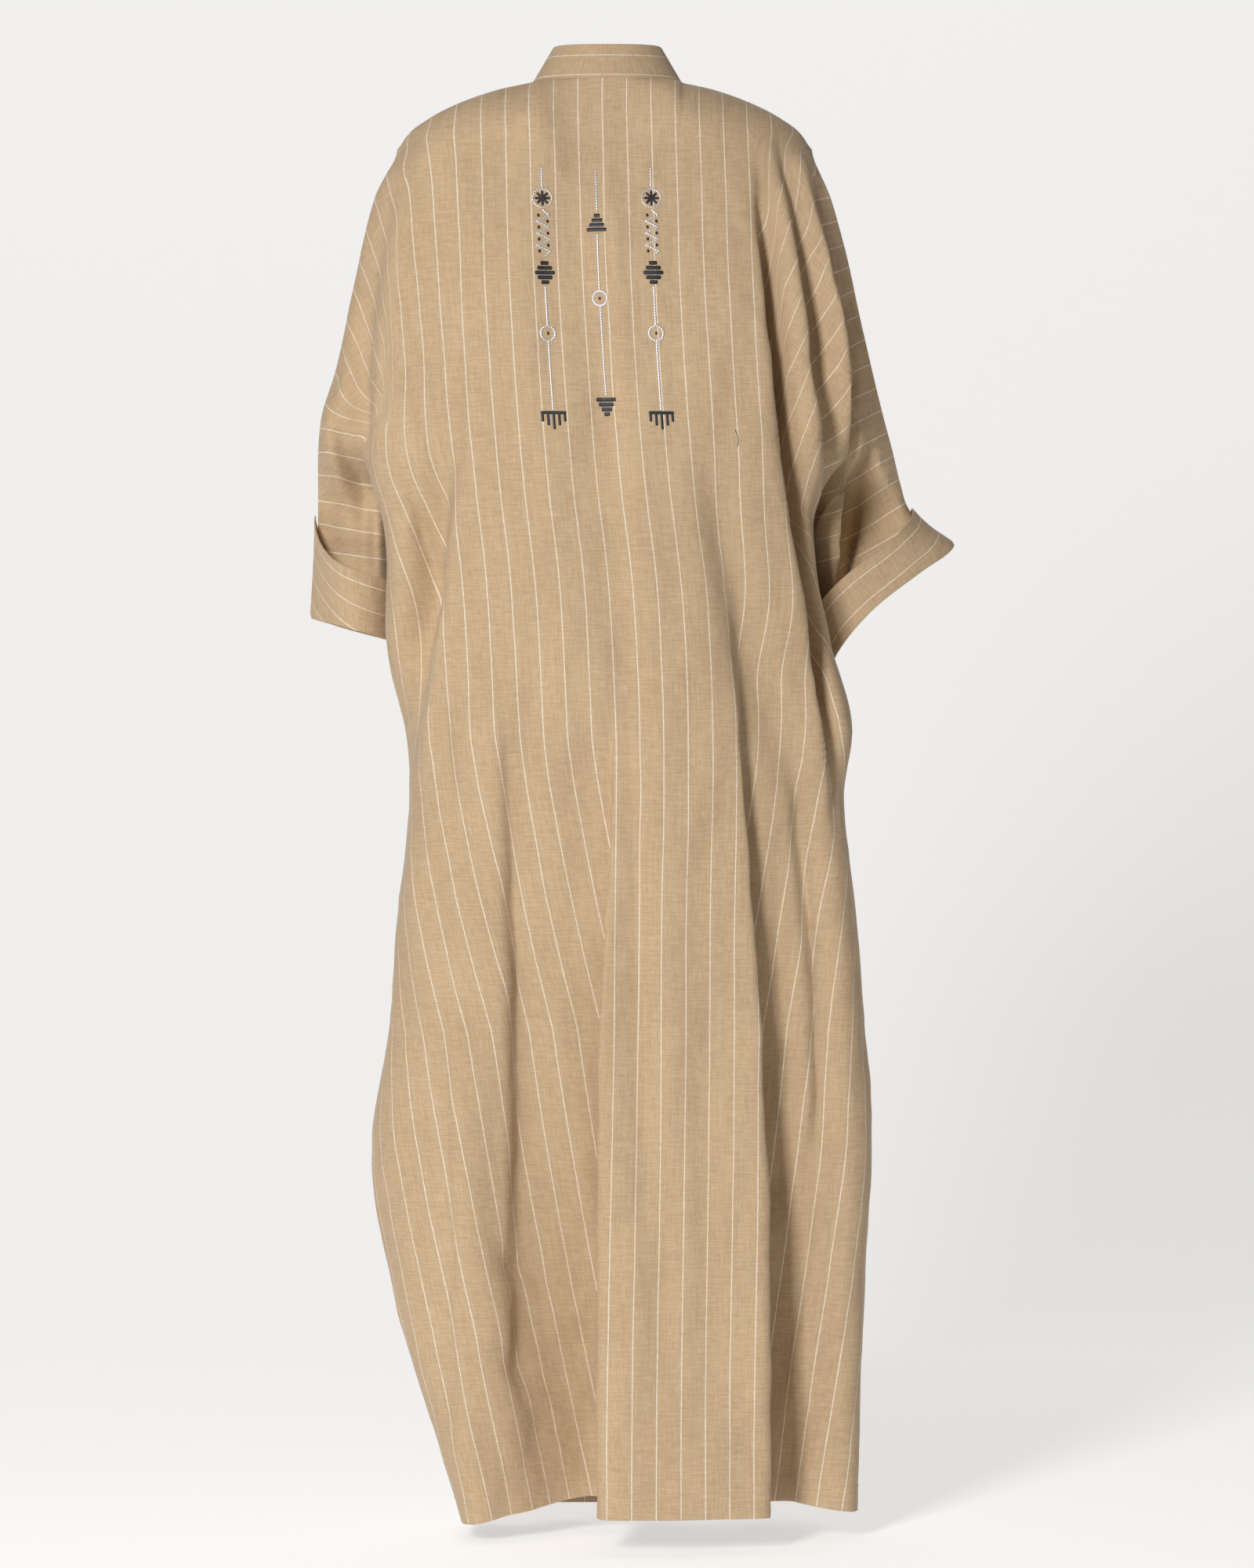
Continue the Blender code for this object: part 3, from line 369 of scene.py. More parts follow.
# 1 on the cloth, and down to 0 over the last rows of a sleeve, where the cuff is sewn on.
def nearEnd(share):
    fade = smooth((1 - allDown) / cloth["endTaper"])[:, None]
    return np.where(np.abs(share) > cloth["sleeveShare"] - 0.001, fade, 1.0)


# Lay a panel at signed shares, row by row, and push its folds in.
def layPanel(shares, face, folds):
    leftward = shares >= 0
    share = np.abs(shares)
    side = np.where(leftward, 1.0, -1.0)
    reach = np.where(leftward, body["left"][-1], body["right"][-1])
    hemX = side * reach * np.sin(np.pi / 2 * np.clip(share[-1] / cloth["ridgeShare"], 0, 1))
    hem = np.interp(hemX[-1], backHem["across"], backHem["height"])
    if face < 0:
        hem = np.where(leftward[-1], backHem["height"][-1], backHem["height"][0])
    top = topLine(share[0], leftward[0], face)[2]
    end = sleeveHeights(share[0], leftward[0])
    z = np.vstack([top + upperDown[:, None] * (end - top), end + lowerDown[:, None] * (hem - end)])
    down = np.repeat(allDown[:, None], shares.shape[1], axis=1)
    x, y, split = placeCloth(share, leftward, face, z, down)
    x = x * side
    push, lean = foldShift(x, z, folds)
    taper = seamTaper(share, split) * smooth((z[0] - z) / cloth["foldStart"]) * nearEnd(share)
    points = np.stack([x + lean * taper, y - face * push * taper, z], axis=-1)
    calm = smooth((cloth["roundUntil"] - down) / cloth["roundFade"])[..., None]
    return points + (rounded(points, share, split) - points) * calm, split, taper


# Length along each row from its first point, with steps in depth counted by a share.
def alongRows(points, depthShare=1.0):
    steps = np.diff(points, axis=1)
    steps = np.sqrt(steps[..., 0] ** 2 + depthShare * steps[..., 1] ** 2 + steps[..., 2] ** 2)
    return np.concatenate([np.zeros((len(points), 1)), np.cumsum(steps, axis=1)], axis=1)


# Grain: rows from which depth counts, share where the drift begins, slant of the sleeve's threads, and
# the window and fades of the strips
grain = {"depthStart": 0.04, "depthFade": 0.30, "driftStart": 0.35, "slant": 0.17,
         "window": 0.005, "steepAt": 0.65, "least": 0.015, "armX": 0.2,
         "above": 0.024, "topFade": 0.026, "below": 0.020, "bottomFade": 0.05, "drapeFade": 0.17,
         "bodyTop": -0.450, "bodyFade": 0.040, "bodyShare": 0.01,
         "match": 0.9, "matchX": 0.02, "matchZ": 0.04}


# Thread count across the cloth: the length along the row from the centre thread, with the grain
# that drifts on towards the sleeve, and on a sleeve the length down the arm.
def threadAcross(points, shares, split, startLength):
    z = points[..., 2]
    length = alongRows(points, smooth((allDown - grain["depthStart"]) / grain["depthFade"])[:, None])
    share = np.abs(shares)
    if startLength is None:
        middle = through(z[:, z.shape[1] // 2], threadLine["height"], threadLine["across"])
        origin = [np.interp(at, row[:, 0], far) for at, row, far in zip(middle, points, length)]
        across = length - np.array(origin)[:, None]
        sideLength, sign = np.abs(across), np.sign(across)
        atEnd = np.where(shares > 0, sideLength[:, -1:], sideLength[:, :1])
    else:
        sideLength, sign = length + startLength, 1.0
        atEnd = sideLength[:, -1:]
    toArm = bySide(shares > 0, armLength, z) - atEnd
    drift = toArm * smooth((share - grain["driftStart"]) / (1 - grain["driftStart"]))
    whole = sideLength + drift
    outer = smooth((share - cloth["sideShare"]) / (cloth["sleeveShare"] - cloth["sideShare"]))
    slant = grain["slant"] * (bySide(shares > 0, arm, z) - np.abs(points[..., 0]))
    onSleeve = bySide(shares > 0, armLength, z - slant)
    parted = sideLength + (onSleeve - sideLength) * outer
    return sign * (whole + (parted - whole) * split)


# Grain on the sleeves. Each fold is a strip with its own count of threads, and the cloth between two
# strips is hidden. By height: the inner edge of the strip, the line on which the count is read, the
# count there, and how much it falls for each metre inwards.
grainColumns = "height inner line count fall"
sleeveGrain = {
    "left": {
        "arm": sizes(grainColumns, (
            (-0.0920, 0.2030, 0.2256, 10, 1.43), (-0.1208, 0.2045, 0.2360, 11, 1.43),
            (-0.1496, 0.2080, 0.2448, 12, 1.43), (-0.1832, 0.2135, 0.2512, 13, 1.43),
            (-0.2120, 0.2165, 0.2584, 14, 1.43), (-0.2440, 0.2190, 0.2648, 15, 1.43),
            (-0.2728, 0.2200, 0.2704, 16, 1.43), (-0.3032, 0.2210, 0.2760, 17, 1.40),
            (-0.3352, 0.2230, 0.2840, 18, 0.95), (-0.3552, 0.2280, 0.2936, 19, 0.35),
            (-0.3792, 0.2500, 0.2936, 20, 0.22), (-0.4016, 0.2420, 0.2936, 21, 0.20),
            (-0.4272, 0.2340, 0.2936, 22, 0.20), (-0.4504, 0.2268, 0.2936, 23, 0.20),
            (-0.4776, 0.2280, 0.2936, 24, 0.16), (-0.5764, 0.2291, 0.2936, 28, 0.16)))},
    "right": {
        "drape": sizes(grainColumns, (
            (-0.0772, 0.1567, 0.1645, 0, 1.55), (-0.1178, 0.1645, 0.1754, 1, 1.55),
            (-0.1498, 0.1680, 0.1840, 2, 1.50), (-0.1904, 0.1700, 0.1910, 3, 1.25),
            (-0.2271, 0.1739, 0.1957, 4, 1.15), (-0.2685, 0.1754, 0.1996, 5, 1.12),
            (-0.3037, 0.1754, 0.2035, 6, 1.12), (-0.3427, 0.1754, 0.2074, 7, 1.15),
            (-0.3974, 0.1785, 0.2074, 8, 1.15), (-0.4716, 0.1887, 0.2074, 9, 1.30),
            (-0.5942, 0.2051, 0.2074, 10, 1.30))),
        "arm": sizes(grainColumns, (
            (-0.0928, 0.1700, 0.1949, 0, 1.55), (-0.1272, 0.1778, 0.2082, 1, 1.45),
            (-0.1631, 0.1871, 0.2184, 2, 1.30), (-0.1889, 0.1910, 0.2231, 3, 1.22),
            (-0.2256, 0.1957, 0.2309, 4, 1.00), (-0.2552, 0.1988, 0.2356, 5, 0.97),
            (-0.2865, 0.2020, 0.2395, 6, 0.90), (-0.3216, 0.2051, 0.2426, 7, 0.78),
            (-0.3544, 0.2113, 0.2449, 8, 0.70), (-0.3833, 0.2160, 0.2457, 9, 0.52),
            (-0.4130, 0.2106, 0.2441, 10, 0.34), (-0.4364, 0.2082, 0.2410, 11, 0.28),
            (-0.4614, 0.2090, 0.2387, 12, 0.20), (-0.4849, 0.2113, 0.2356, 13, 0.20),
            (-0.5091, 0.2153, 0.2324, 14, 0.20), (-0.5340, 0.2199, 0.2277, 15, 0.20))),
        "outer": sizes(grainColumns, (
            (-0.0992, 0.2070, 0.2112, 0, 0.30), (-0.1232, 0.2100, 0.2176, 1, 0.35),
            (-0.1480, 0.2150, 0.2232, 2, 0.40), (-0.1736, 0.2215, 0.2280, 3, 0.45),
            (-0.1968, 0.2265, 0.2328, 4, 0.48), (-0.2224, 0.2315, 0.2368, 5, 0.50),
            (-0.2480, 0.2355, 0.2408, 6, 0.52), (-0.2744, 0.2390, 0.2440, 7, 0.53),
            (-0.3008, 0.2415, 0.2464, 8, 0.53), (-0.3256, 0.2435, 0.2496, 9, 0.53),
            (-0.3504, 0.2450, 0.2504, 10, 0.53), (-0.3776, 0.2460, 0.2512, 11, 0.53),
            (-0.4056, 0.2445, 0.2496, 12, 0.53), (-0.4360, 0.2415, 0.2472, 13, 0.53),
            (-0.4640, 0.2390, 0.2448, 14, 0.53), (-0.4920, 0.2350, 0.2432, 15, 0.53),
            (-0.5900, 0.2200, 0.2200, 19, 0.53)))},
}


# Counts across and along the cloth with the strips of the sleeves laid in. The change to a strip is
# shared out over its window in proportion to the steepness squared, so most of it is hidden. Each strip
# is then moved by whole pitches to the count that it meets.
def layGrain(points, across, columnShare):
    along = -points[..., 2]
    normal = unit(np.cross(np.gradient(points, axis=1), np.gradient(points, axis=0)))
    away = normal[..., 1] * np.sign(normal[..., 1].mean())
    steep = np.clip(grain["steepAt"] - away, 0, 1) ** 2 + grain["least"]
    for side, sign in (("left", 1), ("right", -1)):
        outward, z = sign * points[..., 0], points[..., 2]
        for name, strip in sleeveGrain[side].items():
            inner, line, count, fall = (through(z, strip["height"], strip[key])
                                        for key in ("inner", "line", "count", "fall"))
            own = count * cloth["stripePitch"] + fall * (outward - line)
            share = np.exp(-((outward - inner) / grain["window"]) ** 2) * steep
            total = np.cumsum(share[:, ::sign], axis=1)
            weight = (total / (total[:, -1:] + 1e-9))[:, ::sign]
            top, bottom = strip["height"].max(), strip["height"].min()
            bottomFade = grain["drapeFade"] if name == "drape" else grain["bottomFade"]
            weight = weight * between(z, top + grain["above"], grain["topFade"],
                                      bottom - grain["below"], bottomFade)
            if name != "drape":
                bodyEdge = cloth["sleeveShare"] - grain["bodyShare"]
                onBody = smooth((bodyEdge - columnShare) / grain["bodyShare"])
                weight = weight * (1 - onBody * smooth((grain["bodyTop"] - z) / grain["bodyFade"]))
            old = sign * across
            middle = (weight > grain["match"]) & (np.abs(outward - line) < grain["matchX"])
            middle = middle & (z > top - grain["matchZ"])
            near = np.round(np.mean((old - own)[middle]) / cloth["stripePitch"])
            own = own + near * cloth["stripePitch"]
            across = sign * (old + (own - old) * weight)
            slope = np.gradient(strip["count"], strip["height"]).mean() * cloth["stripePitch"]
            turned = slope * (outward - grain["armX"]) - np.mean(strip["fall"]) * z
            along = along + (turned - along) * weight
    return across, along


# Rows of a grid read again at other lengths along them.
def resample(grid, length, targets):
    rows = grid.shape[0]
    flat = grid.reshape(rows, grid.shape[1], -1)
    out = np.zeros((rows, targets.shape[1], flat.shape[2]))
    for row in range(rows):
        for k in range(flat.shape[2]):
            out[row, :, k] = np.interp(targets[row], length[row], flat[row, :, k])
    return out


# Columns at even lengths between the seams, so that they run with the threads.
def evenColumns(length, fineShares, marks, counts):
    targets = []
    for (first, last), count in zip(marks, counts):
        a = length[np.arange(len(length)), np.argmin(np.abs(fineShares - first))]
        b = length[np.arange(len(length)), np.argmin(np.abs(fineShares - last))]
        t = np.linspace(0, 1, count + 1)
        targets.append(a[:, None] + (b - a)[:, None] * t[None, :])
    return np.concatenate(targets, axis=1)


creaseForm = {"wander": 0.024, "waves": 5.0, "phase": 3.0, "swell": 0.7, "deepen": 1.6}


# Depth of creases at points: each is a bell across a wandering line that swells and fades along its
# length as a half wave, and their sum is deepened.
def creaseDepth(x, z, creases):
    total = np.zeros_like(x)
    for k in range(len(creases["width"])):
        ax, az = creases["fromX"][k], creases["fromZ"][k]
        bx, bz = creases["toX"][k] - ax, creases["toZ"][k] - az
        span = math.hypot(bx, bz)
        t = ((x - ax) * bx + (z - az) * bz) / span ** 2
        wander = creaseForm["wander"] * span * np.sin(creaseForm["waves"] * t + creaseForm["phase"] * k)
        off = ((x - ax) * bz - (z - az) * bx) / span + wander * np.clip(t * (1 - t), 0, 1)
        swell = np.sin(np.pi * np.clip(t, 0, 1)) ** creaseForm["swell"]
        total += creases["depth"][k] * swell * np.exp(-(off / creases["width"][k]) ** 2)
    return total * creaseForm["deepen"]


noiseCells = 64


# Smooth noise from -1 to 1 on a grid of cells that repeats: random values at the corners, blended
# across each cell.
def unevenness(u, v, cellU, cellV, seed):
    corners = np.random.default_rng(seed).random((noiseCells, noiseCells)) * 2 - 1
    a, b = u / cellU, v / cellV
    i, j = np.floor(a).astype(int), np.floor(b).astype(int)
    s, t = smooth(a - i), smooth(b - j)
    i, j, nextI, nextJ = (k % noiseCells for k in (i, j, i + 1, j + 1))
    upper = corners[i, j] * (1 - s) + corners[nextI, j] * s
    lower = corners[i, nextJ] * (1 - s) + corners[nextI, nextJ] * s
    return upper * (1 - t) + lower * t


waves = sizes("cellAcross cellDown slant depth", (
    (0.034, 0.300, 0.0, 0.0028),  # long flutes down the cloth
    (0.028, 0.060, 0.3, 0.0017),  # soft dents
    (0.011, 0.017, -0.2, 0.0005)))  # small crinkles
waveSeeds = {"back": 11, "left": 31, "right": 41}


# Depth that the cloth is uneven by: the sum of the waves, each from its own seed.
def clothWaves(across, z, seed):
    return sum(unevenness(across + waves["slant"][k] * z, z, waves["cellAcross"][k],
                          waves["cellDown"][k], seed + k) * waves["depth"][k]
               for k in range(len(waves["depth"])))


# Four corners of each kept cell of a grid, in order round it.
def latticeFaces(keep):
    rows, columns = keep.shape
    index = np.arange((rows + 1) * (columns + 1)).reshape(rows + 1, columns + 1)
    a, b = index[:-1, :-1][keep], index[:-1, 1:][keep]
    c, d = index[1:, 1:][keep], index[1:, :-1][keep]
    return np.stack([a, b, c, d], axis=1)


# Faces of a grid whose last column meets its first.
def wrapFaces(rows, columns):
    index = np.arange(rows * columns).reshape(rows, columns)
    across = np.roll(index, -1, axis=1)
    return np.stack([index[:-1], across[:-1], across[1:], index[1:]], axis=-1).reshape(-1, 4)


# Normal at each point: the mean of the normals of the faces round it.
def pointNormals(flat, faces):
    normal = unit(np.cross(flat[faces[:, 2]] - flat[faces[:, 0]], flat[faces[:, 3]] - flat[faces[:, 1]]))
    total = np.zeros_like(flat)
    for k in range(4):
        np.add.at(total, faces[:, k], normal)
    return unit(total)


# Directed edges with cloth on one side only: those whose reverse is not in the list.
def rimOf(faces, count):
    starts = faces.reshape(-1).astype(np.int64)
    ends = np.roll(faces, -1, axis=1).reshape(-1).astype(np.int64)
    lone = ~np.isin(starts * count + ends, ends * count + starts)
    return starts[lone], ends[lone]


# A smooth mesh with its map of thread counts, sharp where faces turn by more than the angle.
def addMesh(name, corners, faces, uv, material, sharp=60):
    mesh = bpy.data.meshes.new(name)
    mesh.from_pydata(corners.tolist(), [], [tuple(face) for face in faces.tolist()])
    mesh.update()
    mesh.polygons.foreach_set("use_smooth", np.ones(len(mesh.polygons), dtype=bool))
    mesh.set_sharp_from_angle(angle=math.radians(sharp))
    if uv is not None:
        corner = np.zeros(len(mesh.loops), dtype=np.int32)
        mesh.loops.foreach_get("vertex_index", corner)
        layer = mesh.uv_layers.new(name="cloth")
        layer.data.foreach_set("uv", uv[corner].reshape(-1))
    mesh.materials.append(material)
    item = bpy.data.objects.new(name, mesh)
    bpy.context.scene.collection.objects.link(item)
    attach(item, "root")
    return item


# A shell round a middle surface: its points moved out and in by half the wall, and a rim between. Points
# on a seam move level with it.
def addShell(name, flat, faces, uv, wall, material, level=None):
    normals = pointNormals(flat, faces)
    if level is not None:
        normals[level, 1] = 0
        normals = unit(normals)
    used = np.unique(faces)
    new = np.full(len(flat), -1)
    new[used] = np.arange(len(used))
    quads = new[faces]
    count = len(used)
    corners = np.vstack([flat[used] + normals[used] * wall / 2, flat[used] - normals[used] * wall / 2])
    a, b = rimOf(quads, count)
    rim = np.stack([b, a, a + count, b + count], axis=1)
    allFaces = np.vstack([quads, quads[:, ::-1] + count, rim])
    return addMesh(name, corners, allFaces, np.vstack([uv[used], uv[used]]), material)


# A socket with arithmetic: each operator adds one Math node to the tree.
class Value:
    def __init__(self, tree, socket):
        self.tree, self.socket = tree, socket

    def calc(self, operation, *others):
        sockets = {k + 1: other for k, other in enumerate(others)}
        return node(self.tree, "ShaderNodeMath", {"operation": operation}, {0: self, **sockets})

    def __add__(self, other):
        return self.calc("ADD", other)

    def __radd__(self, other):
        return self.calc("ADD", other)

    def __sub__(self, other):
        return self.calc("SUBTRACT", other)

    def __rsub__(self, other):
        return self.calc("MULTIPLY", -1.0).calc("ADD", other)

    def __mul__(self, other):
        return self.calc("MULTIPLY", other)

    def __rmul__(self, other):
        return self.calc("MULTIPLY", other)

    def __truediv__(self, other):
        return self.calc("DIVIDE", other)


# One node: its type, its settings first, then a value or a link for each named or numbered socket.
def node(tree, kind, settings=None, inputs=None, output=0):
    made = tree.nodes.new(kind)
    for key, value in (settings or {}).items():
        setattr(made, key, value)
    for key, value in (inputs or {}).items():
        socket = made.inputs[key]
        if isinstance(value, Value):
            tree.links.new(value.socket, socket)
        else:
            socket.default_value = value
    return Value(tree, made.outputs[output]) if len(made.outputs) else None


# Mix of two colours by a factor.
def mixColours(tree, factor, first, second, blend="MIX"):
    return node(tree, "ShaderNodeMix", {"data_type": "RGBA", "blend_type": blend},
                {0: factor, 6: first, 7: second}, output=2)


# Soft step of a value between two limits.
def ramp(tree, value, low, high, start=0.0, finish=1.0):
    return node(tree, "ShaderNodeMapRange", {"interpolation_type": "SMOOTHSTEP"},
                {0: value, 1: low, 2: high, 3: start, 4: finish})


linen = {
    "base": (0.505, 0.362, 0.222, 1.0), "pale": (0.575, 0.420, 0.262, 1.0),
    "deep": (0.410, 0.283, 0.166, 1.0), "stripe": (0.77, 0.68, 0.55, 1.0),
    "stripeHalf": 0.00058, "stripeEdge": (0.55, 1.25), "stripeUneven": 0.0006, "stripeHeight": 0.00010,
    "wornRange": (0.30, 0.62, 0.72, 1.0), "toneRange": (0.15, 0.85), "baseShare": 0.30,
    "roughness": 0.88, "sheen": 0.10, "sheenRoughness": 0.5, "bump": 0.6,
    "noiseRoughness": 0.6,
    # Noises of the cloth: how many cells to a metre across and along it, detail and place
    "noise": {
        "warp": (850.0, 70.0, 2.0, 0.0), "weft": (90.0, 850.0, 2.0, 7.0), "slub": (34.0, 520.0, 3.0, 3.0),
        "ply": (480.0, 14.0, 2.0, 5.0), "cloud": (14.0, 9.0, 3.0, 11.0), "edge": (30.0, 300.0, 1.0, 21.0),
        "worn": (40.0, 190.0, 2.0, 31.0), "wrinkle": (60.0, 42.0, 3.0, 17.0),
        "rumple": (26.0, 13.0, 2.0, 41.0)},
    "tone": {"weave": 1.7, "slub": 0.9, "ply": 0.6, "cloud": 0.5},
    "height": {"weave": 0.00016, "slub": 0.00012, "wrinkle": 0.0020, "rumple": 0.0030},
}


# Noise drawn out along one of the two thread directions.
def streaks(tree, across, along, scaleAcross, scaleAlong, detail, place):
    at = node(tree, "ShaderNodeCombineXYZ", None,
              {0: across * scaleAcross, 1: along * scaleAlong, 2: place})
    return node(tree, "ShaderNodeTexNoise", {"noise_dimensions": "3D"},
                {"Vector": at, "Scale": 1.0, "Detail": detail, "Roughness": linen["noiseRoughness"]})


# Linen: plain weave with slubs along both thread directions, and a pale thread at every pitch, worn thinner
# in places. Colour and height are sums of the noises, each less its middle and times its share.
# A copy may carry painted light: its whole colour is multiplied by a factor, above 1 for a lighter,
# lit-looking copy.
def makeLinen(name, shade=1.0, pitch=cloth["stripePitch"], offset=0.0):
    material = bpy.data.materials.new(name)
    material.use_nodes = True
    tree = material.node_tree
    tree.nodes.clear()
    uv = node(tree, "ShaderNodeUVMap", {"uv_map": "cloth"})
    across = node(tree, "ShaderNodeSeparateXYZ", None, {0: uv}, output=0)
    along = node(tree, "ShaderNodeSeparateXYZ", None, {0: uv}, output=1)
    noise = {key: streaks(tree, across, along, *values) for key, values in linen["noise"].items()}
    noise["weave"] = noise["warp"] * 0.5 + noise["weft"] * 0.5

    def summed(shares, total):
        for key, share in shares.items():
            total = (noise[key] - 0.5) * share + total
        return total

    step = (across + offset) / pitch
    near = (step - node(tree, "ShaderNodeMath", {"operation": "ROUND"}, {0: step})) * pitch
    far = near.calc("ABSOLUTE") + (noise["edge"] - 0.5) * linen["stripeUneven"]
    inner, outer = (linen["stripeHalf"] * part for part in linen["stripeEdge"])
    strength = ramp(tree, far, inner, outer, 1.0, 0.0) * ramp(tree, noise["worn"], *linen["wornRange"])

    tone = summed(linen["tone"], 0.5)
    colour = mixColours(tree, ramp(tree, tone, *linen["toneRange"]), linen["deep"], linen["pale"])
    colour = mixColours(tree, linen["baseShare"], colour, linen["base"])
    colour = mixColours(tree, strength, colour, linen["stripe"])
    # Painted light: the whole colour times a factor, so that a copy of the linen reads lighter, as if more
    # lit.
    if shade != 1.0:
        colour = mixColours(tree, 1.0, colour, (shade, shade, shade, 1.0), "MULTIPLY")
    height = summed(linen["height"], strength * linen["stripeHeight"])
    bump = node(tree, "ShaderNodeBump", None,
                {"Strength": linen["bump"], "Distance": 1.0, "Height": height})
    shader = node(tree, "ShaderNodeBsdfPrincipled", None,
                  {"Base Color": colour, "Roughness": linen["roughness"], "Normal": bump,
                   "Sheen Weight": linen["sheen"], "Sheen Roughness": linen["sheenRoughness"]})
    node(tree, "ShaderNodeOutputMaterial", None, {"Surface": shader})
    return material


clothLinen = makeLinen("linen")
print("linen made")


# Map of the cloth: the thread count across it, and the way down.
def uvOf(across, z):
    return np.stack([across, -z], axis=-1)


# Grid of the back: laid fine and even in shares, then read again at even lengths between its seams, with
# its thread counts, its shares, and the depth of its creases and waves.
def makeBack(folds):
    step = cloth["fineStep"]
    fine = np.linspace(-1, 1, int(round(2 / step)) + 1)
    shares = np.tile(fine, (len(allDown), 1))
    points, split, taper = layPanel(shares, 1, folds)
    across = threadAcross(points, shares, split, None)
    length = alongRows(points)
    side, sleeve = cloth["sideShare"], cloth["sleeveShare"]
    marks = ((-1.0, -sleeve), (-side, side), (sleeve, 1.0))
    counts = (cloth["sleeveColumns"], cloth["bodyColumns"], cloth["sleeveColumns"])
    targets = evenColumns(length, fine, marks, counts)
    data = np.concatenate([points, across[..., None], shares[..., None], taper[..., None]], axis=-1)
    grid = resample(data, length, targets)
    points, across, share, taper = grid[..., :3], grid[..., 3], grid[..., 4], grid[..., 5]
    depth = creaseDepth(points[..., 0], points[..., 2], backCreases)
    depth = (depth + clothWaves(across, points[..., 2], waveSeeds["back"])) * taper
    across, along = layGrain(points, across, np.abs(share))
    return points, across, along, share, depth


# Hollows of the sleeves beside the drapes and inside the cuffs, with the edge of each by height, and the
# slope of the outer strip on the right
sleeveHollow = {
    "left": {"depth": 0.030, "width": 0.020, "top": -0.37, "bottom": -0.570,
             "edge": sizes("height out", ((-0.370, 0.2320), (-0.570, 0.2320)))},
    "right": {"depth": 0.040, "width": 0.016, "top": -0.38, "bottom": -0.606,
              "edge": sizes("height out", (
                  (-0.120, 0.2095), (-0.157, 0.2200), (-0.220, 0.2340), (-0.282, 0.2452),
                  (-0.330, 0.2495), (-0.3675, 0.2500), (-0.4436, 0.2435), (-0.505, 0.2340),
                  (-0.5455, 0.2255)))},
    "topFade": 0.07, "bottomFade": 0.05, "seamFade": 0.10,
}
outerSlope = {"steep": 1.7, "width": 0.008, "top": -0.10, "bottom": -0.47, "fade": 0.06}


# Where the hollow of a side begins, out from the middle, at each height.
def hollowEdge(side, z):
    edge = sleeveHollow[side]["edge"]
    return through(z, edge["height"], edge["out"])


# Points of the back with its sleeves hollowed: pushed forward by the depth times three soft steps, past
# the edge, below the top and above the bottom, and by nothing at the over-arm seam. On the right the
# outer strip is also held under a plane that rises steeply from that seam, so that it faces away.
def hollowed(points, share):
    moved = points.copy()
    x, z = points[..., 0], points[..., 2]
    for side, sign in (("left", 1.0), ("right", -1.0)):
        own = sleeveHollow[side]
        amount = own["depth"] * smooth((sign * x - hollowEdge(side, z)) / own["width"])
        amount = amount * between(z, own["top"], sleeveHollow["topFade"],
                                  own["bottom"], sleeveHollow["bottomFade"])
        atSeam = smooth((1 - np.abs(share)) / sleeveHollow["seamFade"])
        moved[..., 1] -= amount * atSeam * nearEnd(share)
    outward = -x
    plane = moved[:, :1, 1] + outerSlope["steep"] * (outward[:, :1] - outward)
    past = smooth((outward - hollowEdge("right", z)) / outerSlope["width"]) * nearEnd(share)
    past = past * between(z, outerSlope["top"], outerSlope["fade"],
                          outerSlope["bottom"], outerSlope["fade"])
    moved[..., 1] -= np.clip(moved[..., 1] - plane, 0, None) * past * (share < 0)
    return moved


# Cells of a panel that are cloth: the whole body, each tuck down to the underarm and each sleeve down to
# its end.
def keptCells(rows, bodyColumns, sleeveSides):
    keep = []
    row = np.arange(rows - 1)[:, None]
    inSleeve = np.repeat(row < endRow, cloth["sleeveColumns"], axis=1)
    inTuck = row < underarmRow
    inBody = np.ones((rows - 1, bodyColumns), dtype=bool)
    if "right" in sleeveSides:
        keep += [inSleeve, inTuck]
    keep.append(inBody)
    if "left" in sleeveSides:
        keep += [inTuck, inSleeve]
    return np.concatenate(keep, axis=1)


backPoints, backAcross, backAlong, backShare, backDepth = makeBack(backFolds)
cuffBase = makeBack({name: values[:0] for name, values in backFolds.items()})[0]
backKeep = keptCells(len(allDown), cloth["bodyColumns"], ("right", "left"))
backFaces = latticeFaces(backKeep)
flatBack = backPoints.reshape(-1, 3)
flatBack = flatBack - pointNormals(flatBack, backFaces) * backDepth.reshape(-1)[:, None]
backPoints = hollowed(flatBack.reshape(backPoints.shape), backShare)
flatBack = backPoints.reshape(-1, 3)
bodyStart = cloth["sleeveColumns"] + 1
bodyEnd = bodyStart + cloth["bodyColumns"]


# Points on a seam: the shoulders, given columns down to the sleeve's end, and others below the underarm.
def seamPoints(shape, share, columns, lowColumns):
    mark = np.zeros(shape, dtype=bool)
    mark[0] = np.abs(share[0]) > cloth["neckShare"]
    mark[:endRow + 1, columns] = True
    for column in lowColumns:
        mark[underarmRow + 1:, column] = True
    return mark.reshape(-1)


backSeams = seamPoints(backAcross.shape, backShare, [0, -1],
                       [bodyStart - 1, bodyStart, bodyEnd, bodyEnd + 1])
back = addShell("back_cloth", flatBack, backFaces, uvOf(backAcross, -backAlong).reshape(-1, 2),
                cloth["wall"], clothLinen, backSeams)
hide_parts("back")
print("back laid", len(back.data.polygons), "faces")


# Each front: the count at its edge, and the columns over which its folds rise from that edge
frontSize = {"firstCount": 0.055, "plainColumns": 2, "riseColumns": 12.0}


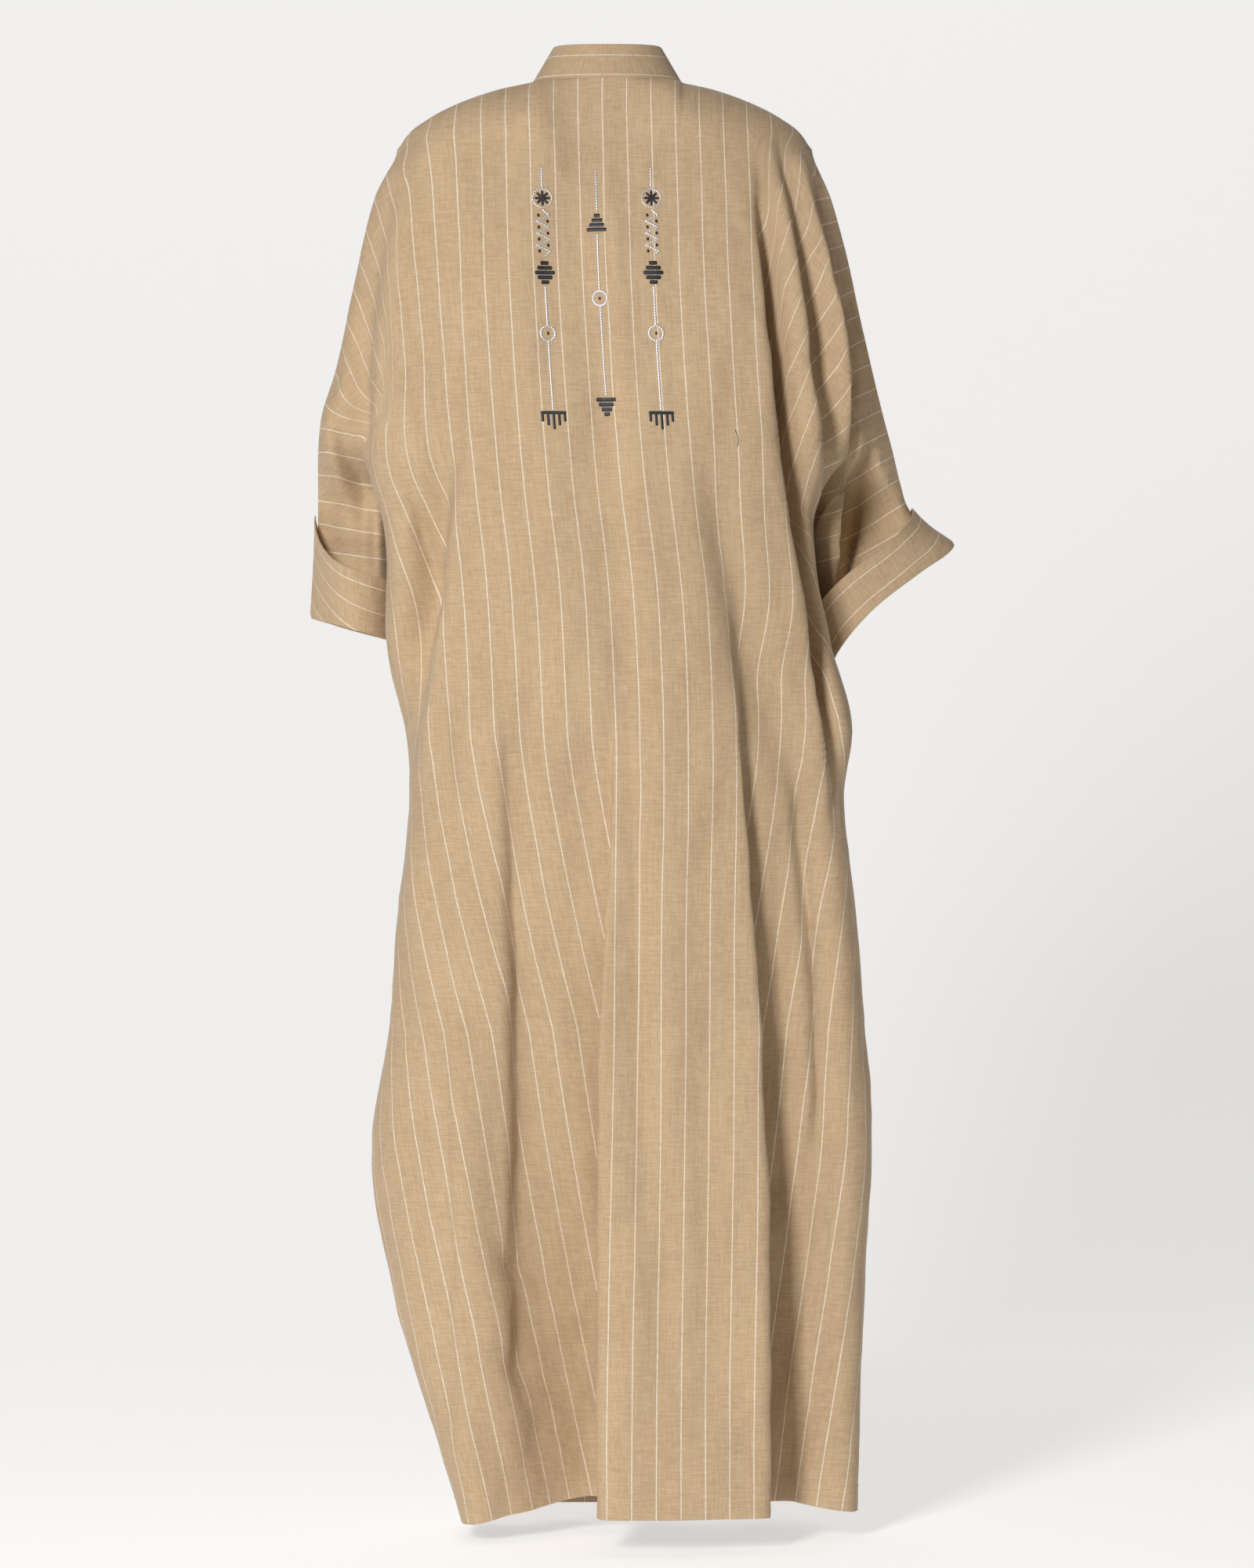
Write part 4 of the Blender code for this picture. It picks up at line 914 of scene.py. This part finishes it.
# Shares of a front's columns in each row, from the front edge to the over-arm seam: the share whose
# place on the loop is the edge's, and then evenly out.
def frontShares(columns, leftward):
    rows = len(allDown)
    z = np.where(allDown <= 1, allDown * cloth["endAtBody"],
                 cloth["endAtBody"] + (allDown - 1) * (cloth["hem"] - cloth["endAtBody"]))
    edge = through(z, frontEdge["height"], frontEdge["out"])
    armHalf = bySide(np.full(rows, leftward), arm, z)
    bodyHalf = bySide(np.full(rows, leftward), body, z)
    split = smooth((allDown - cloth["splitStart"]) / (cloth["splitDone"] - cloth["splitStart"]))
    wide = 2 / np.pi * np.arcsin(edge / armHalf)
    parted = cloth["ridgeShare"] * 2 / np.pi * np.arcsin(edge / bodyHalf)
    first = wide + (parted - wide) * split
    neck, side = cloth["neckShare"], cloth["sideShare"]
    first = (neck + (first - neck) * smooth(allDown / cloth["topShare"]))[:, None]
    along = np.clip((columns - neck) / (side - neck), 0, 1)[None, :]
    return np.where(columns[None, :] > side, columns[None, :], first + (side - first) * along)


# A front, made as the back is, but from its own edge outwards. The left one is turned round at the end,
# so that its faces point out.
def makeFront(side, folds):
    leftward = side == "left"
    sign = 1.0 if leftward else -1.0
    neck, sideShare, sleeve = cloth["neckShare"], cloth["sideShare"], cloth["sleeveShare"]
    even = np.linspace(neck, 1, int(round((1 - neck) / cloth["fineStep"])) + 1)
    shares = frontShares(even, leftward) * sign
    points, split, taper = layPanel(shares, -1, folds)
    across = threadAcross(points, shares, split, frontSize["firstCount"])
    length = alongRows(points)
    columns = cloth["frontColumns"]
    targets = evenColumns(length, even, ((neck, sideShare), (sleeve, 1.0)),
                          (columns, cloth["sleeveColumns"]))
    fromEdge = np.arange(shares.shape[1]) - frontSize["plainColumns"]
    taper = taper * smooth(fromEdge / frontSize["riseColumns"])[None, :]
    data = np.concatenate([points, across[..., None], np.abs(shares)[..., None], taper[..., None]],
                          axis=-1)
    grid = resample(data, length, targets)
    keep = np.concatenate([np.ones((len(allDown) - 1, columns), dtype=bool),
                           keptCells(len(allDown), 0, ("left",))], axis=1)
    points, across, share = grid[..., :3], grid[..., 3], grid[..., 4]
    depth = creaseDepth(points[..., 0], points[..., 2], frontCreases)
    depth = (depth + clothWaves(across, points[..., 2], waveSeeds[side])) * grid[..., 5]
    normals = pointNormals(points.reshape(-1, 3), latticeFaces(keep)).reshape(points.shape)
    points = points - normals * np.sign(-normals[..., 1:2].mean()) * depth[..., None]
    lowColumns = [columns, columns + 1]
    edge = points[:, 0].copy()
    if leftward:
        points, across, share, keep = points[:, ::-1], across[:, ::-1], share[:, ::-1], keep[:, ::-1]
        total = points.shape[1] - 1
        seams = seamPoints(across.shape, share, [0], [total - k for k in lowColumns])
    else:
        seams = seamPoints(across.shape, share, [-1], lowColumns)
    item = addShell("front_" + side + "_cloth", points.reshape(-1, 3), latticeFaces(keep),
                    uvOf(across, points[..., 2]).reshape(-1, 2), cloth["wall"], clothLinen, seams)
    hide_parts("front_" + side)
    if leftward:
        points, across = points[:, ::-1], across[:, ::-1]
    return item, points, across, edge


frontLeft, leftPoints, leftAcross, leftEdge = makeFront("left", leftFrontFolds)
frontRight, rightPoints, rightAcross, rightFrontEdge = makeFront("right", rightFrontFolds)
print("fronts laid")


# Neck band. The colour factor of 1.02 is painted light: the band's copy of the same linen is drawn 2%
# lighter, as if more lit.
bandSize = {"width": 0.042, "walls": 1.5, "backLean": 0.45, "sideLean": 0.48, "leanDrop": 0.4,
            "middleY": 0.005, "stands": 0.02, "turn": 0.16, "columns": 14, "rows": 260,
            "shade": 1.02, "stripeAt": -0.0283, "mapStart": 3.0, "besideCentre": 0.002}


# Half of the neck band: its rows follow the seam, and its width turns from standing to lying.
def makeBand(side, neck, edge):
    leftward = side == "left"
    sign = 1.0 if leftward else -1.0
    path = np.vstack([neck, edge[1:]])
    steps = np.linalg.norm(np.diff(path, axis=0), axis=1)
    far = np.concatenate([[0.0], np.cumsum(steps)])
    count = bandSize["rows"]
    at = np.linspace(0, far[-1], count)
    path = np.stack([np.interp(at, far, path[:, k]) for k in range(3)], axis=1)
    neckLength = far[len(neck) - 1]
    inward = np.stack([-path[:, 0], bandSize["middleY"] - path[:, 1], 0 * path[:, 2]], axis=1)
    lean = bandSize["backLean"] + (bandSize["sideLean"] - bandSize["backLean"]) * smooth(at / neckLength)
    upright = np.array([0.0, 0.0, 1.0]) * (1 - lean[:, None] * bandSize["leanDrop"])
    standing = unit(unit(inward) * lean[:, None] + upright)
    way = unit(np.gradient(path, axis=0))
    lying = np.tile(np.array([-sign, 0.0, 0.0]), (len(path), 1))
    lying = unit(lying - way * np.sum(lying * way, axis=1, keepdims=True))
    turned = smooth((at - neckLength - bandSize["stands"]) / bandSize["turn"])[:, None]
    direction = unit(standing * (1 - turned) + lying * turned)
    t = np.linspace(0, 1, bandSize["columns"] + 1)
    points = path[:, None, :] + direction[:, None, :] * (t * bandSize["width"])[None, :, None]
    across = np.repeat((t * bandSize["width"])[None, :], count, axis=0)
    uv = np.stack([across, np.repeat(at[:, None], len(t), axis=1) + bandSize["mapStart"]], axis=-1)
    if not leftward:
        points, uv = points[:, ::-1], uv[:, ::-1]
    keep = np.ones((count - 1, len(t) - 1), dtype=bool)
    item = addShell("band_" + side + "_cloth", points.reshape(-1, 3), latticeFaces(keep),
                    uv.reshape(-1, 2), cloth["wall"] * bandSize["walls"], bandLinen)
    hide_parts("band_" + side)
    return item


# The band's linen: a copy of the cloth's own with painted light, 2% lighter.
bandLinen = makeLinen("linen_band", bandSize["shade"], offset=bandSize["stripeAt"])
neckLine = backPoints[0, np.abs(backShare[0]) < cloth["neckShare"] + 1e-6]
neckEnd = np.array([cloth["neckHalf"], cloth["neckSideY"], -shoulder["drop"][0]])
centre = np.array([0.0, cloth["neckBackY"], -cloth["neckBackDrop"]])
leftNeck = np.vstack([centre, neckLine[neckLine[:, 0] > bandSize["besideCentre"]], neckEnd])
rightNeck = np.vstack([centre, neckLine[neckLine[:, 0] < -bandSize["besideCentre"]][::-1],
                       neckEnd * (-1, 1, 1)])
bandLeft = makeBand("left", leftNeck, leftEdge)
bandRight = makeBand("right", rightNeck, rightFrontEdge)
print("bands laid")


# Cuffs: heights of the upper edge beside the body and at the over-arm seam, bend of that edge, and how
# far its tip is drawn out. The turn has the first rows: how far on from the sleeve's end, and which
# share of the clearance out.
cuffSize = {
    "left": {"inner": -0.510, "tip": -0.442, "bend": 2.6, "point": 0.002},
    "right": {"inner": -0.566, "tip": -0.434, "bend": 0.96, "point": 0.010},
    "turn": ((0.0011, 0.0), (0.0024, 0.25), (0.0028, 0.65)),
    "clearance": 0.0034, "flare": 0.014, "flareUp": 1.3, "flareRound": 0.8, "rows": 26, "lowest": 0.02,
    "tipFrom": 0.80, "foldRows": 3, "pitch": 0.0250, "stripeAt": -0.012, "mapStart": 6.0,
}


# Cuff: a ring that follows the sleeve's end outside it, from the fold upwards, by the clearance and a
# flare that grows with height and is widest between the seams.
def makeCuff(side, front):
    leftward = side == "left"
    if leftward:
        over = cuffBase[:endRow + 1, bodyEnd + 1:]
    else:
        over = cuffBase[:endRow + 1, :bodyStart][:, ::-1]
    under = front[:endRow + 1, -cloth["sleeveColumns"] - 1:][:, ::-1]
    sleeve = np.concatenate([over, under[:, 1:-1]], axis=1)
    count = sleeve.shape[1]
    steps = np.linalg.norm(np.roll(sleeve[-1], -1, axis=0) - sleeve[-1], axis=1)
    half = len(over[0]) - 1
    roundIt = np.concatenate([np.arange(half) / half, 1 - np.arange(half) / half])
    end, top = sleeveEnd[side], cuffSize[side]
    heightOf = (sleeve[-1, :, 2] - end["inner"]) / (end["tip"] - end["inner"])
    highest = top["inner"] + (top["tip"] - top["inner"]) * np.clip(heightOf, 0, 1) ** top["bend"]
    rise = np.linspace(cuffSize["lowest"], 1, cuffSize["rows"])
    points = np.zeros((cuffSize["rows"], count, 3))
    for k in range(count):
        line = sleeve[::-1, k]
        heights = line[0, 2] + (highest[k] - line[0, 2]) * rise
        for axis in range(3):
            points[:, k, axis] = np.interp(heights, line[:, 2], line[:, axis])
    ahead = np.roll(points, -1, axis=1) - np.roll(points, 1, axis=1)
    normal = unit(np.cross(ahead, np.gradient(points, axis=0)))
    outward = np.sign(np.sum(normal * (points - points.mean(axis=1, keepdims=True))))
    normal = normal * outward
    middle = np.clip(4 * heightOf * (1 - heightOf), 0, 1)[None, :] ** cuffSize["flareRound"]
    flare = cuffSize["flare"] * rise[:, None] ** cuffSize["flareUp"] * middle
    fold = sleeve[-1]
    onward = unit(fold - sleeve[-1 - cuffSize["foldRows"]])
    turn = [fold + onward * on + normal[0] * cuffSize["clearance"] * out for on, out in cuffSize["turn"]]
    points = np.vstack([turn, points + normal * (cuffSize["clearance"] + flare)[..., None]])
    sharpen = top["point"] * smooth((heightOf - cuffSize["tipFrom"]) / (1 - cuffSize["tipFrom"]))
    sharpen = sharpen[None, :] * np.concatenate([np.ones(len(turn)), 1 - rise])[:, None]
    points[..., 0] += sharpen if leftward else -sharpen
    rows = len(points)
    up = np.concatenate([np.zeros((1, count)),
                         np.cumsum(np.linalg.norm(np.diff(points, axis=0), axis=2), axis=0)])
    down = up[-1:] - up
    about = np.concatenate([[0.0], np.cumsum(steps)[:-1]])
    uv = np.stack([down, np.repeat(about[None, :], rows, axis=0) + cuffSize["mapStart"]], axis=-1)
    if outward < 0:
        points, uv = points[:, ::-1], uv[:, ::-1]
    item = addShell("cuff_" + side + "_cloth", points.reshape(-1, 3), wrapFaces(rows, count),
                    uv.reshape(-1, 2), cloth["wall"], cuffLinen)
    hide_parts("cuff_" + side)
    return item


cuffLinen = makeLinen("linen_cuff", 1.0, cuffSize["pitch"], cuffSize["stripeAt"])
cuffLeft = makeCuff("left", leftPoints)
cuffRight = makeCuff("right", rightPoints)
print("cuffs laid")


# Normals of a grid of points: the cross product of its two directions, turned outward.
def gridNormals(points, face):
    normal = unit(np.cross(np.gradient(points, axis=1), np.gradient(points, axis=0)))
    return normal * np.sign(normal[..., 1:2].mean()) * face


# Points and normals at places on the flat cloth: across it, and down from the neck. Each row is read
# at the places across, and then the rows above and below the place down are mixed.
def onCloth(grid, lengths, normals, across, down):
    rows = len(grid)
    at = np.zeros((rows, len(across), 6))
    for row in range(rows):
        order = np.argsort(lengths[row])
        known = lengths[row][order]
        for axis in range(3):
            at[row, :, axis] = np.interp(across, known, grid[row, order, axis])
            at[row, :, axis + 3] = np.interp(across, known, normals[row, order, axis])
    above = np.clip((-at[..., 2] < down[None, :]).sum(axis=0) - 1, 0, rows - 2)
    each = np.arange(len(across))
    first, second = at[above, each], at[above + 1, each]
    share = np.clip((down + first[:, 2]) / (first[:, 2] - second[:, 2]), 0, 1)[:, None]
    mixed = first + (second - first) * share
    return mixed[:, :3], unit(mixed[:, 3:])


# Needlework: the way between two points of a thread, half widths of chain and satin stitch, their height
# and how much of it stands out of the cloth, and the length of a chain stitch. A chain is thin between
# two stitches and swells over each, satin stitch is thinner near its ends, and the height falls with the
# width but is held up a little.
stitch = {"step": 0.0004, "line": 0.00105, "satin": 0.00160, "height": 0.00048, "out": 0.55,
          "chain": 0.0028, "thin": 0.62, "swell": 0.5, "endThin": 0.35, "endFrom": 0.47,
          "heldUp": 0.2, "sharp": 80}


# Tubes of six sides along paths of points with normals: an oval of the given half widths and heights.
def addThreads(name, paths, material):
    sides, corners, faces, count = 6, [], [], 0
    angle = np.linspace(0, 2 * np.pi, sides, endpoint=False)
    for points, normals, halfWidth, halfHeight in paths:
        way = unit(np.gradient(points, axis=0))
        side = unit(np.cross(normals, way))
        up = unit(np.cross(way, side))
        ring = (points[:, None] + side[:, None] * (halfWidth[:, None] * np.cos(angle))[..., None]
                + up[:, None] * (halfHeight[:, None] * (np.sin(angle) + stitch["out"]))[..., None]
                + up[:, None] * cloth["wall"] / 2)
        corners.append(ring.reshape(-1, 3))
        faces.append(wrapFaces(len(points), sides)[:, ::-1] + count)
        last = count + (len(points) - 1) * sides
        faces.append(np.array([[0, 1, 2, 3], [0, 3, 4, 5]]) + count)
        faces.append(np.array([[3, 2, 1, 0], [5, 4, 3, 0]]) + last)
        count += len(points) * sides
    return addMesh(name, np.vstack(corners), np.vstack(faces), None, material, stitch["sharp"])


# One stroke on the flat cloth: places across and down at even steps, the half width at each, and the
# thread. A chain swells once in each stitch, and satin stitch, of pitch 0, thins at its ends.
def stroke(points, half, thread, pitch):
    points = np.array(points, dtype=float)
    far = np.concatenate([[0.0], np.cumsum(np.linalg.norm(np.diff(points, axis=0), axis=1))])
    at = np.linspace(0, far[-1], max(4, int(far[-1] / stitch["step"])))
    line = np.stack([np.interp(at, far, points[:, k]) for k in range(2)], axis=1)
    if pitch:
        swell = stitch["thin"] + stitch["swell"] * np.abs(np.sin(np.pi * at / pitch))
    else:
        swell = 1.0 - stitch["endThin"] * (np.abs(at / far[-1] - 0.5) > stitch["endFrom"])
    return line, half * swell * np.ones(len(at)), thread


# Motifs: half widths of their threads against the plain ones, and lengths against the motif's own size,
# but dots and the gap between bars in metres
motif = {
    "star": {"turns": (0, 45, 90, 135), "satin": 0.8, "line": 0.8, "ring": 1.25, "points": 25},
    "zigzag": {"dotIn": 0.7, "dotHalf": 0.0012},
    "bars": {"satin": 1.25, "gap": 0.0048},
    "ring": {"line": 1.1, "dotHalf": 0.001, "points": 33},
    "comb": {"teeth": (-2, -1, 0, 1, 2), "satin": 0.85, "half": 1.15, "longest": 1.5, "shorter": 0.35},
}


# Straight line of chain stitch.
def plainLine(u, top, bottom):
    return [stroke([(u, top), (u, bottom)], stitch["line"], "silver", stitch["chain"])]


# Four crossing strokes in a ring.
def star(u, v, size):
    arms, own = [], motif["star"]
    for turn in own["turns"]:
        du, dv = size * math.cos(math.radians(turn)), size * math.sin(math.radians(turn))
        half = stitch["satin"] * own["satin"]
        arms.append(stroke([(u - du, v - dv), (u + du, v + dv)], half, "black", 0))
    angle = np.linspace(0, 2 * np.pi, own["points"])
    reach = size * own["ring"]
    ring = np.stack([u + reach * np.cos(angle), v + reach * np.sin(angle)], axis=1)
    return arms + [stroke(ring, stitch["line"] * own["line"], "silver", stitch["chain"])]


# Line that swings from side to side, with a dot in each bend.
def zigzag(u, top, bottom, reach, teeth):
    v = np.linspace(top, bottom, teeth + 1)
    side = reach * (-1.0) ** np.arange(teeth + 1)
    side[0] = side[-1] = 0
    lines = [stroke(np.stack([u + side, v], axis=1), stitch["line"], "silver", stitch["chain"])]
    half = motif["zigzag"]["dotHalf"]
    for k in range(1, teeth):
        dot = u - side[k] * motif["zigzag"]["dotIn"]
        lines.append(stroke([(dot - half, v[k]), (dot + half, v[k])], stitch["satin"], "black", 0))
    return lines


# Bars of given widths, one below the other.
def bars(u, top, widths):
    gap, half = motif["bars"]["gap"], stitch["satin"] * motif["bars"]["satin"]
    return [stroke([(u - w / 2, top + k * gap), (u + w / 2, top + k * gap)], half, "black", 0)
            for k, w in enumerate(widths)]


# Ring with a dot in it.
def dottedRing(u, v, size):
    own = motif["ring"]
    angle = np.linspace(0, 2 * np.pi, own["points"])
    circle = np.stack([u + size * np.sin(angle), v - size * np.cos(angle)], axis=1)
    dot = stroke([(u - own["dotHalf"], v), (u + own["dotHalf"], v)], stitch["satin"], "black", 0)
    return [stroke(circle, stitch["line"] * own["line"], "silver", stitch["chain"]), dot]


# Bar with five teeth, the middle one longest.
def comb(u, top, size):
    own = motif["comb"]
    teeth = []
    for k in own["teeth"]:
        at, low = u + k * size / 2, top + size * (own["longest"] - own["shorter"] * abs(k))
        teeth.append(stroke([(at, top), (at, low)], stitch["satin"] * own["satin"], "black", 0))
    reach = size * own["half"]
    return teeth + [stroke([(u - reach, top), (u + reach, top)], stitch["satin"], "black", 0)]


# Columns of the needlework from the top down: each motif with its places down from the neck and its
# sizes, then the columns by their place across the back
outerColumn = (
    (plainLine, 0.1000, 0.1215), (star, 0.1320, 0.0076), (zigzag, 0.1435, 0.1920, 0.0064, 8),
    (bars, 0.1980, (0.008, 0.015, 0.020, 0.015, 0.008)), (plainLine, 0.2215, 0.2610),
    (dottedRing, 0.2685, 0.0072), (plainLine, 0.2760, 0.3450), (comb, 0.3480, 0.0110))
middleColumn = (
    (plainLine, 0.1020, 0.1460), (bars, 0.1500, (0.006, 0.011, 0.016, 0.021)),
    (plainLine, 0.1685, 0.2260), (dottedRing, 0.2335, 0.0072), (plainLine, 0.2410, 0.3300),
    (bars, 0.3345, (0.021, 0.016, 0.011, 0.006)))
needleColumns = ((0.0625, outerColumn), (0.0080, middleColumn), (-0.0470, outerColumn))
needlework = [one for u, column in needleColumns
              for draw, *values in column for one in draw(u, *values)]
backBody = backPoints[:, bodyStart:bodyEnd + 1], backAcross[:, bodyStart:bodyEnd + 1]
backBodyNormals = gridNormals(backBody[0], 1.0)

# Threads: colour, metallic value and roughness of each
threads = {
    "black": ((0.012, 0.012, 0.016, 1.0), 0.0, 0.55),
    "silver": ((0.62, 0.60, 0.60, 1.0), 0.55, 0.42),
    "tan": ((0.60, 0.46, 0.31, 1.0), 0.0, 0.8),
    "dark": ((0.10, 0.07, 0.045, 1.0), 0.0, 0.8),
}


# Material of a thread.
def makeThread(name):
    colour, metallic, roughness = threads[name]
    material = bpy.data.materials.new("thread_" + name)
    material.use_nodes = True
    shader = material.node_tree.nodes["Principled BSDF"]
    shader.inputs["Base Color"].default_value = colour
    shader.inputs["Metallic"].default_value = metallic
    shader.inputs["Roughness"].default_value = roughness
    return material


threadLook = {name: makeThread(name) for name in threads}


# Strokes laid on the cloth: their points and normals, half widths, and heights that sink with them.
def laid(strokes, grid, lengths, normals, height):
    across = np.concatenate([line[:, 0] for line, half, thread in strokes])
    down = np.concatenate([line[:, 1] for line, half, thread in strokes])
    points, outward = onCloth(grid, lengths, normals, across, down)
    ends = np.cumsum([len(line) for line, half, thread in strokes])[:-1]
    return [(p, n, half, height * np.minimum(1.0, half / half.max() + stitch["heldUp"]))
            for p, n, (line, half, thread) in zip(np.split(points, ends), np.split(outward, ends), strokes)]


for thread in ("black", "silver"):
    own = [one for one in needlework if one[2] == thread]
    paths = laid(own, backBody[0], backBody[1], backBodyNormals, stitch["height"])
    addThreads("needlework_" + thread, paths, threadLook[thread])
print("needlework laid")


hemStitch = {"up": 0.0250, "inset": 0.004, "step": 0.0009, "pitch": 0.0036, "half": 0.00040,
             "thin": 0.72, "swell": 0.38, "height": 0.00028}


# Row of stitches above the hem, along a panel: a thread that swells and thins as a wave.
def hemPath(lengths, heights):
    order = np.argsort(lengths)
    first, last = lengths[order[0]] + hemStitch["inset"], lengths[order[-1]] - hemStitch["inset"]
    across = np.arange(first, last, hemStitch["step"])
    down = -np.interp(across, lengths[order], heights[order]) - hemStitch["up"]
    wave = np.sin(2 * np.pi * across / hemStitch["pitch"])
    half = hemStitch["half"] * (hemStitch["thin"] + hemStitch["swell"] * wave)
    return np.stack([across, down], axis=1), half, "tan"


# The row of stitches of one panel, as a piece.
def addHem(name, grid, lengths, face):
    path = hemPath(lengths[-1], grid[-1, :, 2])
    laidPath = laid([path], grid, lengths, gridNormals(grid, face), hemStitch["height"])
    return addThreads("hem_stitch_" + name, laidPath, threadLook["tan"])


toSide = slice(0, cloth["frontColumns"] + 1)
hems = [addHem("back", backBody[0], backBody[1], 1.0),
        addHem("left", leftPoints[:, toSide], leftAcross[:, toSide], -1.0),
        addHem("right", rightPoints[:, toSide], rightAcross[:, toSide], -1.0)]

# A loose dark thread lying on the back: places across and down, half width and height
loose = {"places": ((-0.1200, 0.3640), (-0.1222, 0.3700), (-0.1226, 0.3760), (-0.1214, 0.3815)),
         "half": 0.00034, "height": 0.0004}
looseStroke = stroke(loose["places"], loose["half"], "dark", 0)
looseThread = addThreads("loose_thread", laid([looseStroke], backBody[0], backBody[1], backBodyNormals,
                                              loose["height"]), threadLook["dark"])
print("stitches laid")


studio = {"floor": -1.484, "bendAt": -1.6, "radius": 2.6, "near": 1.6, "height": 6.0, "half": 8.0,
          "turnPoints": 48, "white": 0.60, "glow": 0.56, "roughness": 0.95, "specular": 0.1,
          "sky": (1.0, 0.89, 0.72, 1.0), "skyStrength": 0.135}


# Floor and backdrop in one sheet: level, then a quarter turn of wide radius, then upright.
def makeStage():
    white = bpy.data.materials.new("studio_white")
    white.use_nodes = True
    shader = white.node_tree.nodes["Principled BSDF"]
    shader.inputs["Base Color"].default_value = (studio["white"],) * 3 + (1.0,)
    shader.inputs["Roughness"].default_value = studio["roughness"]
    shader.inputs["Specular IOR Level"].default_value = studio["specular"]
    shader.inputs["Emission Color"].default_value = (1.0, 1.0, 1.0, 1.0)
    shader.inputs["Emission Strength"].default_value = studio["glow"]
    turn = np.linspace(0, np.pi / 2, studio["turnPoints"])
    ys = np.concatenate([[studio["near"]], studio["bendAt"] - studio["radius"] * np.sin(turn),
                         [studio["bendAt"] - studio["radius"]]])
    zs = studio["floor"] + np.concatenate([[0.0], studio["radius"] * (1 - np.cos(turn)),
                                           [studio["height"]]])
    xs = np.array([-studio["half"], studio["half"]])
    grid = np.stack([np.repeat(xs[None, :], len(ys), axis=0), np.repeat(ys[:, None], 2, axis=1),
                     np.repeat(zs[:, None], 2, axis=1)], axis=-1)
    mesh = bpy.data.meshes.new("backdrop")
    faces = latticeFaces(np.ones((len(ys) - 1, 1), dtype=bool))
    mesh.from_pydata(grid.reshape(-1, 3).tolist(), [], faces.tolist())
    mesh.polygons.foreach_set("use_smooth", np.ones(len(mesh.polygons), dtype=bool))
    mesh.materials.append(white)
    item = bpy.data.objects.new("backdrop", mesh)
    bpy.context.scene.collection.objects.link(item)


lights = {
    "key": {"place": (1.45, 4.0, 0.7), "target": (0.0, 0.0, -0.75), "size": (0.8, 1.4), "power": 166.0},
    "fill": {"place": (-0.6, 4.9, 0.5), "target": (0.0, 0.0, -0.8), "size": (2.4, 2.6), "power": 4.0},
}


# Rectangular light at a place, turned to a target.
def addArea(name, place, target, size, power):
    light = bpy.data.lights.new(name, "AREA")
    light.shape = "RECTANGLE"
    light.size, light.size_y = size
    light.energy = power
    item = bpy.data.objects.new(name, light)
    bpy.context.scene.collection.objects.link(item)
    item.location = place
    item.rotation_euler = (Vector(target) - Vector(place)).to_track_quat("-Z", "Y").to_euler()


makeStage()
for name, own in lights.items():
    addArea(name, **own)
world = bpy.data.worlds.new("studio")
bpy.context.scene.world = world
world.use_nodes = True
world.node_tree.nodes["Background"].inputs["Color"].default_value = studio["sky"]
world.node_tree.nodes["Background"].inputs["Strength"].default_value = studio["skyStrength"]

# Camera behind the garment and level, in metres, with its lens and sensor in millimetres
camera = {"x": -0.02, "distance": 5.0, "z": -0.7176, "lens": 112.5, "sensor": 36.0}
eye = bpy.data.cameras.new("eye")
eye.lens = camera["lens"]
eye.sensor_width = camera["sensor"]
eyeItem = bpy.data.objects.new("eye", eye)
bpy.context.scene.collection.objects.link(eyeItem)
eyeItem.location = (camera["x"], camera["distance"], camera["z"])
eyeItem.rotation_euler = (math.radians(90), 0, math.radians(180))
bpy.context.scene.camera = eyeItem
bpy.context.scene.view_settings.view_transform = "Standard"
print("studio made")
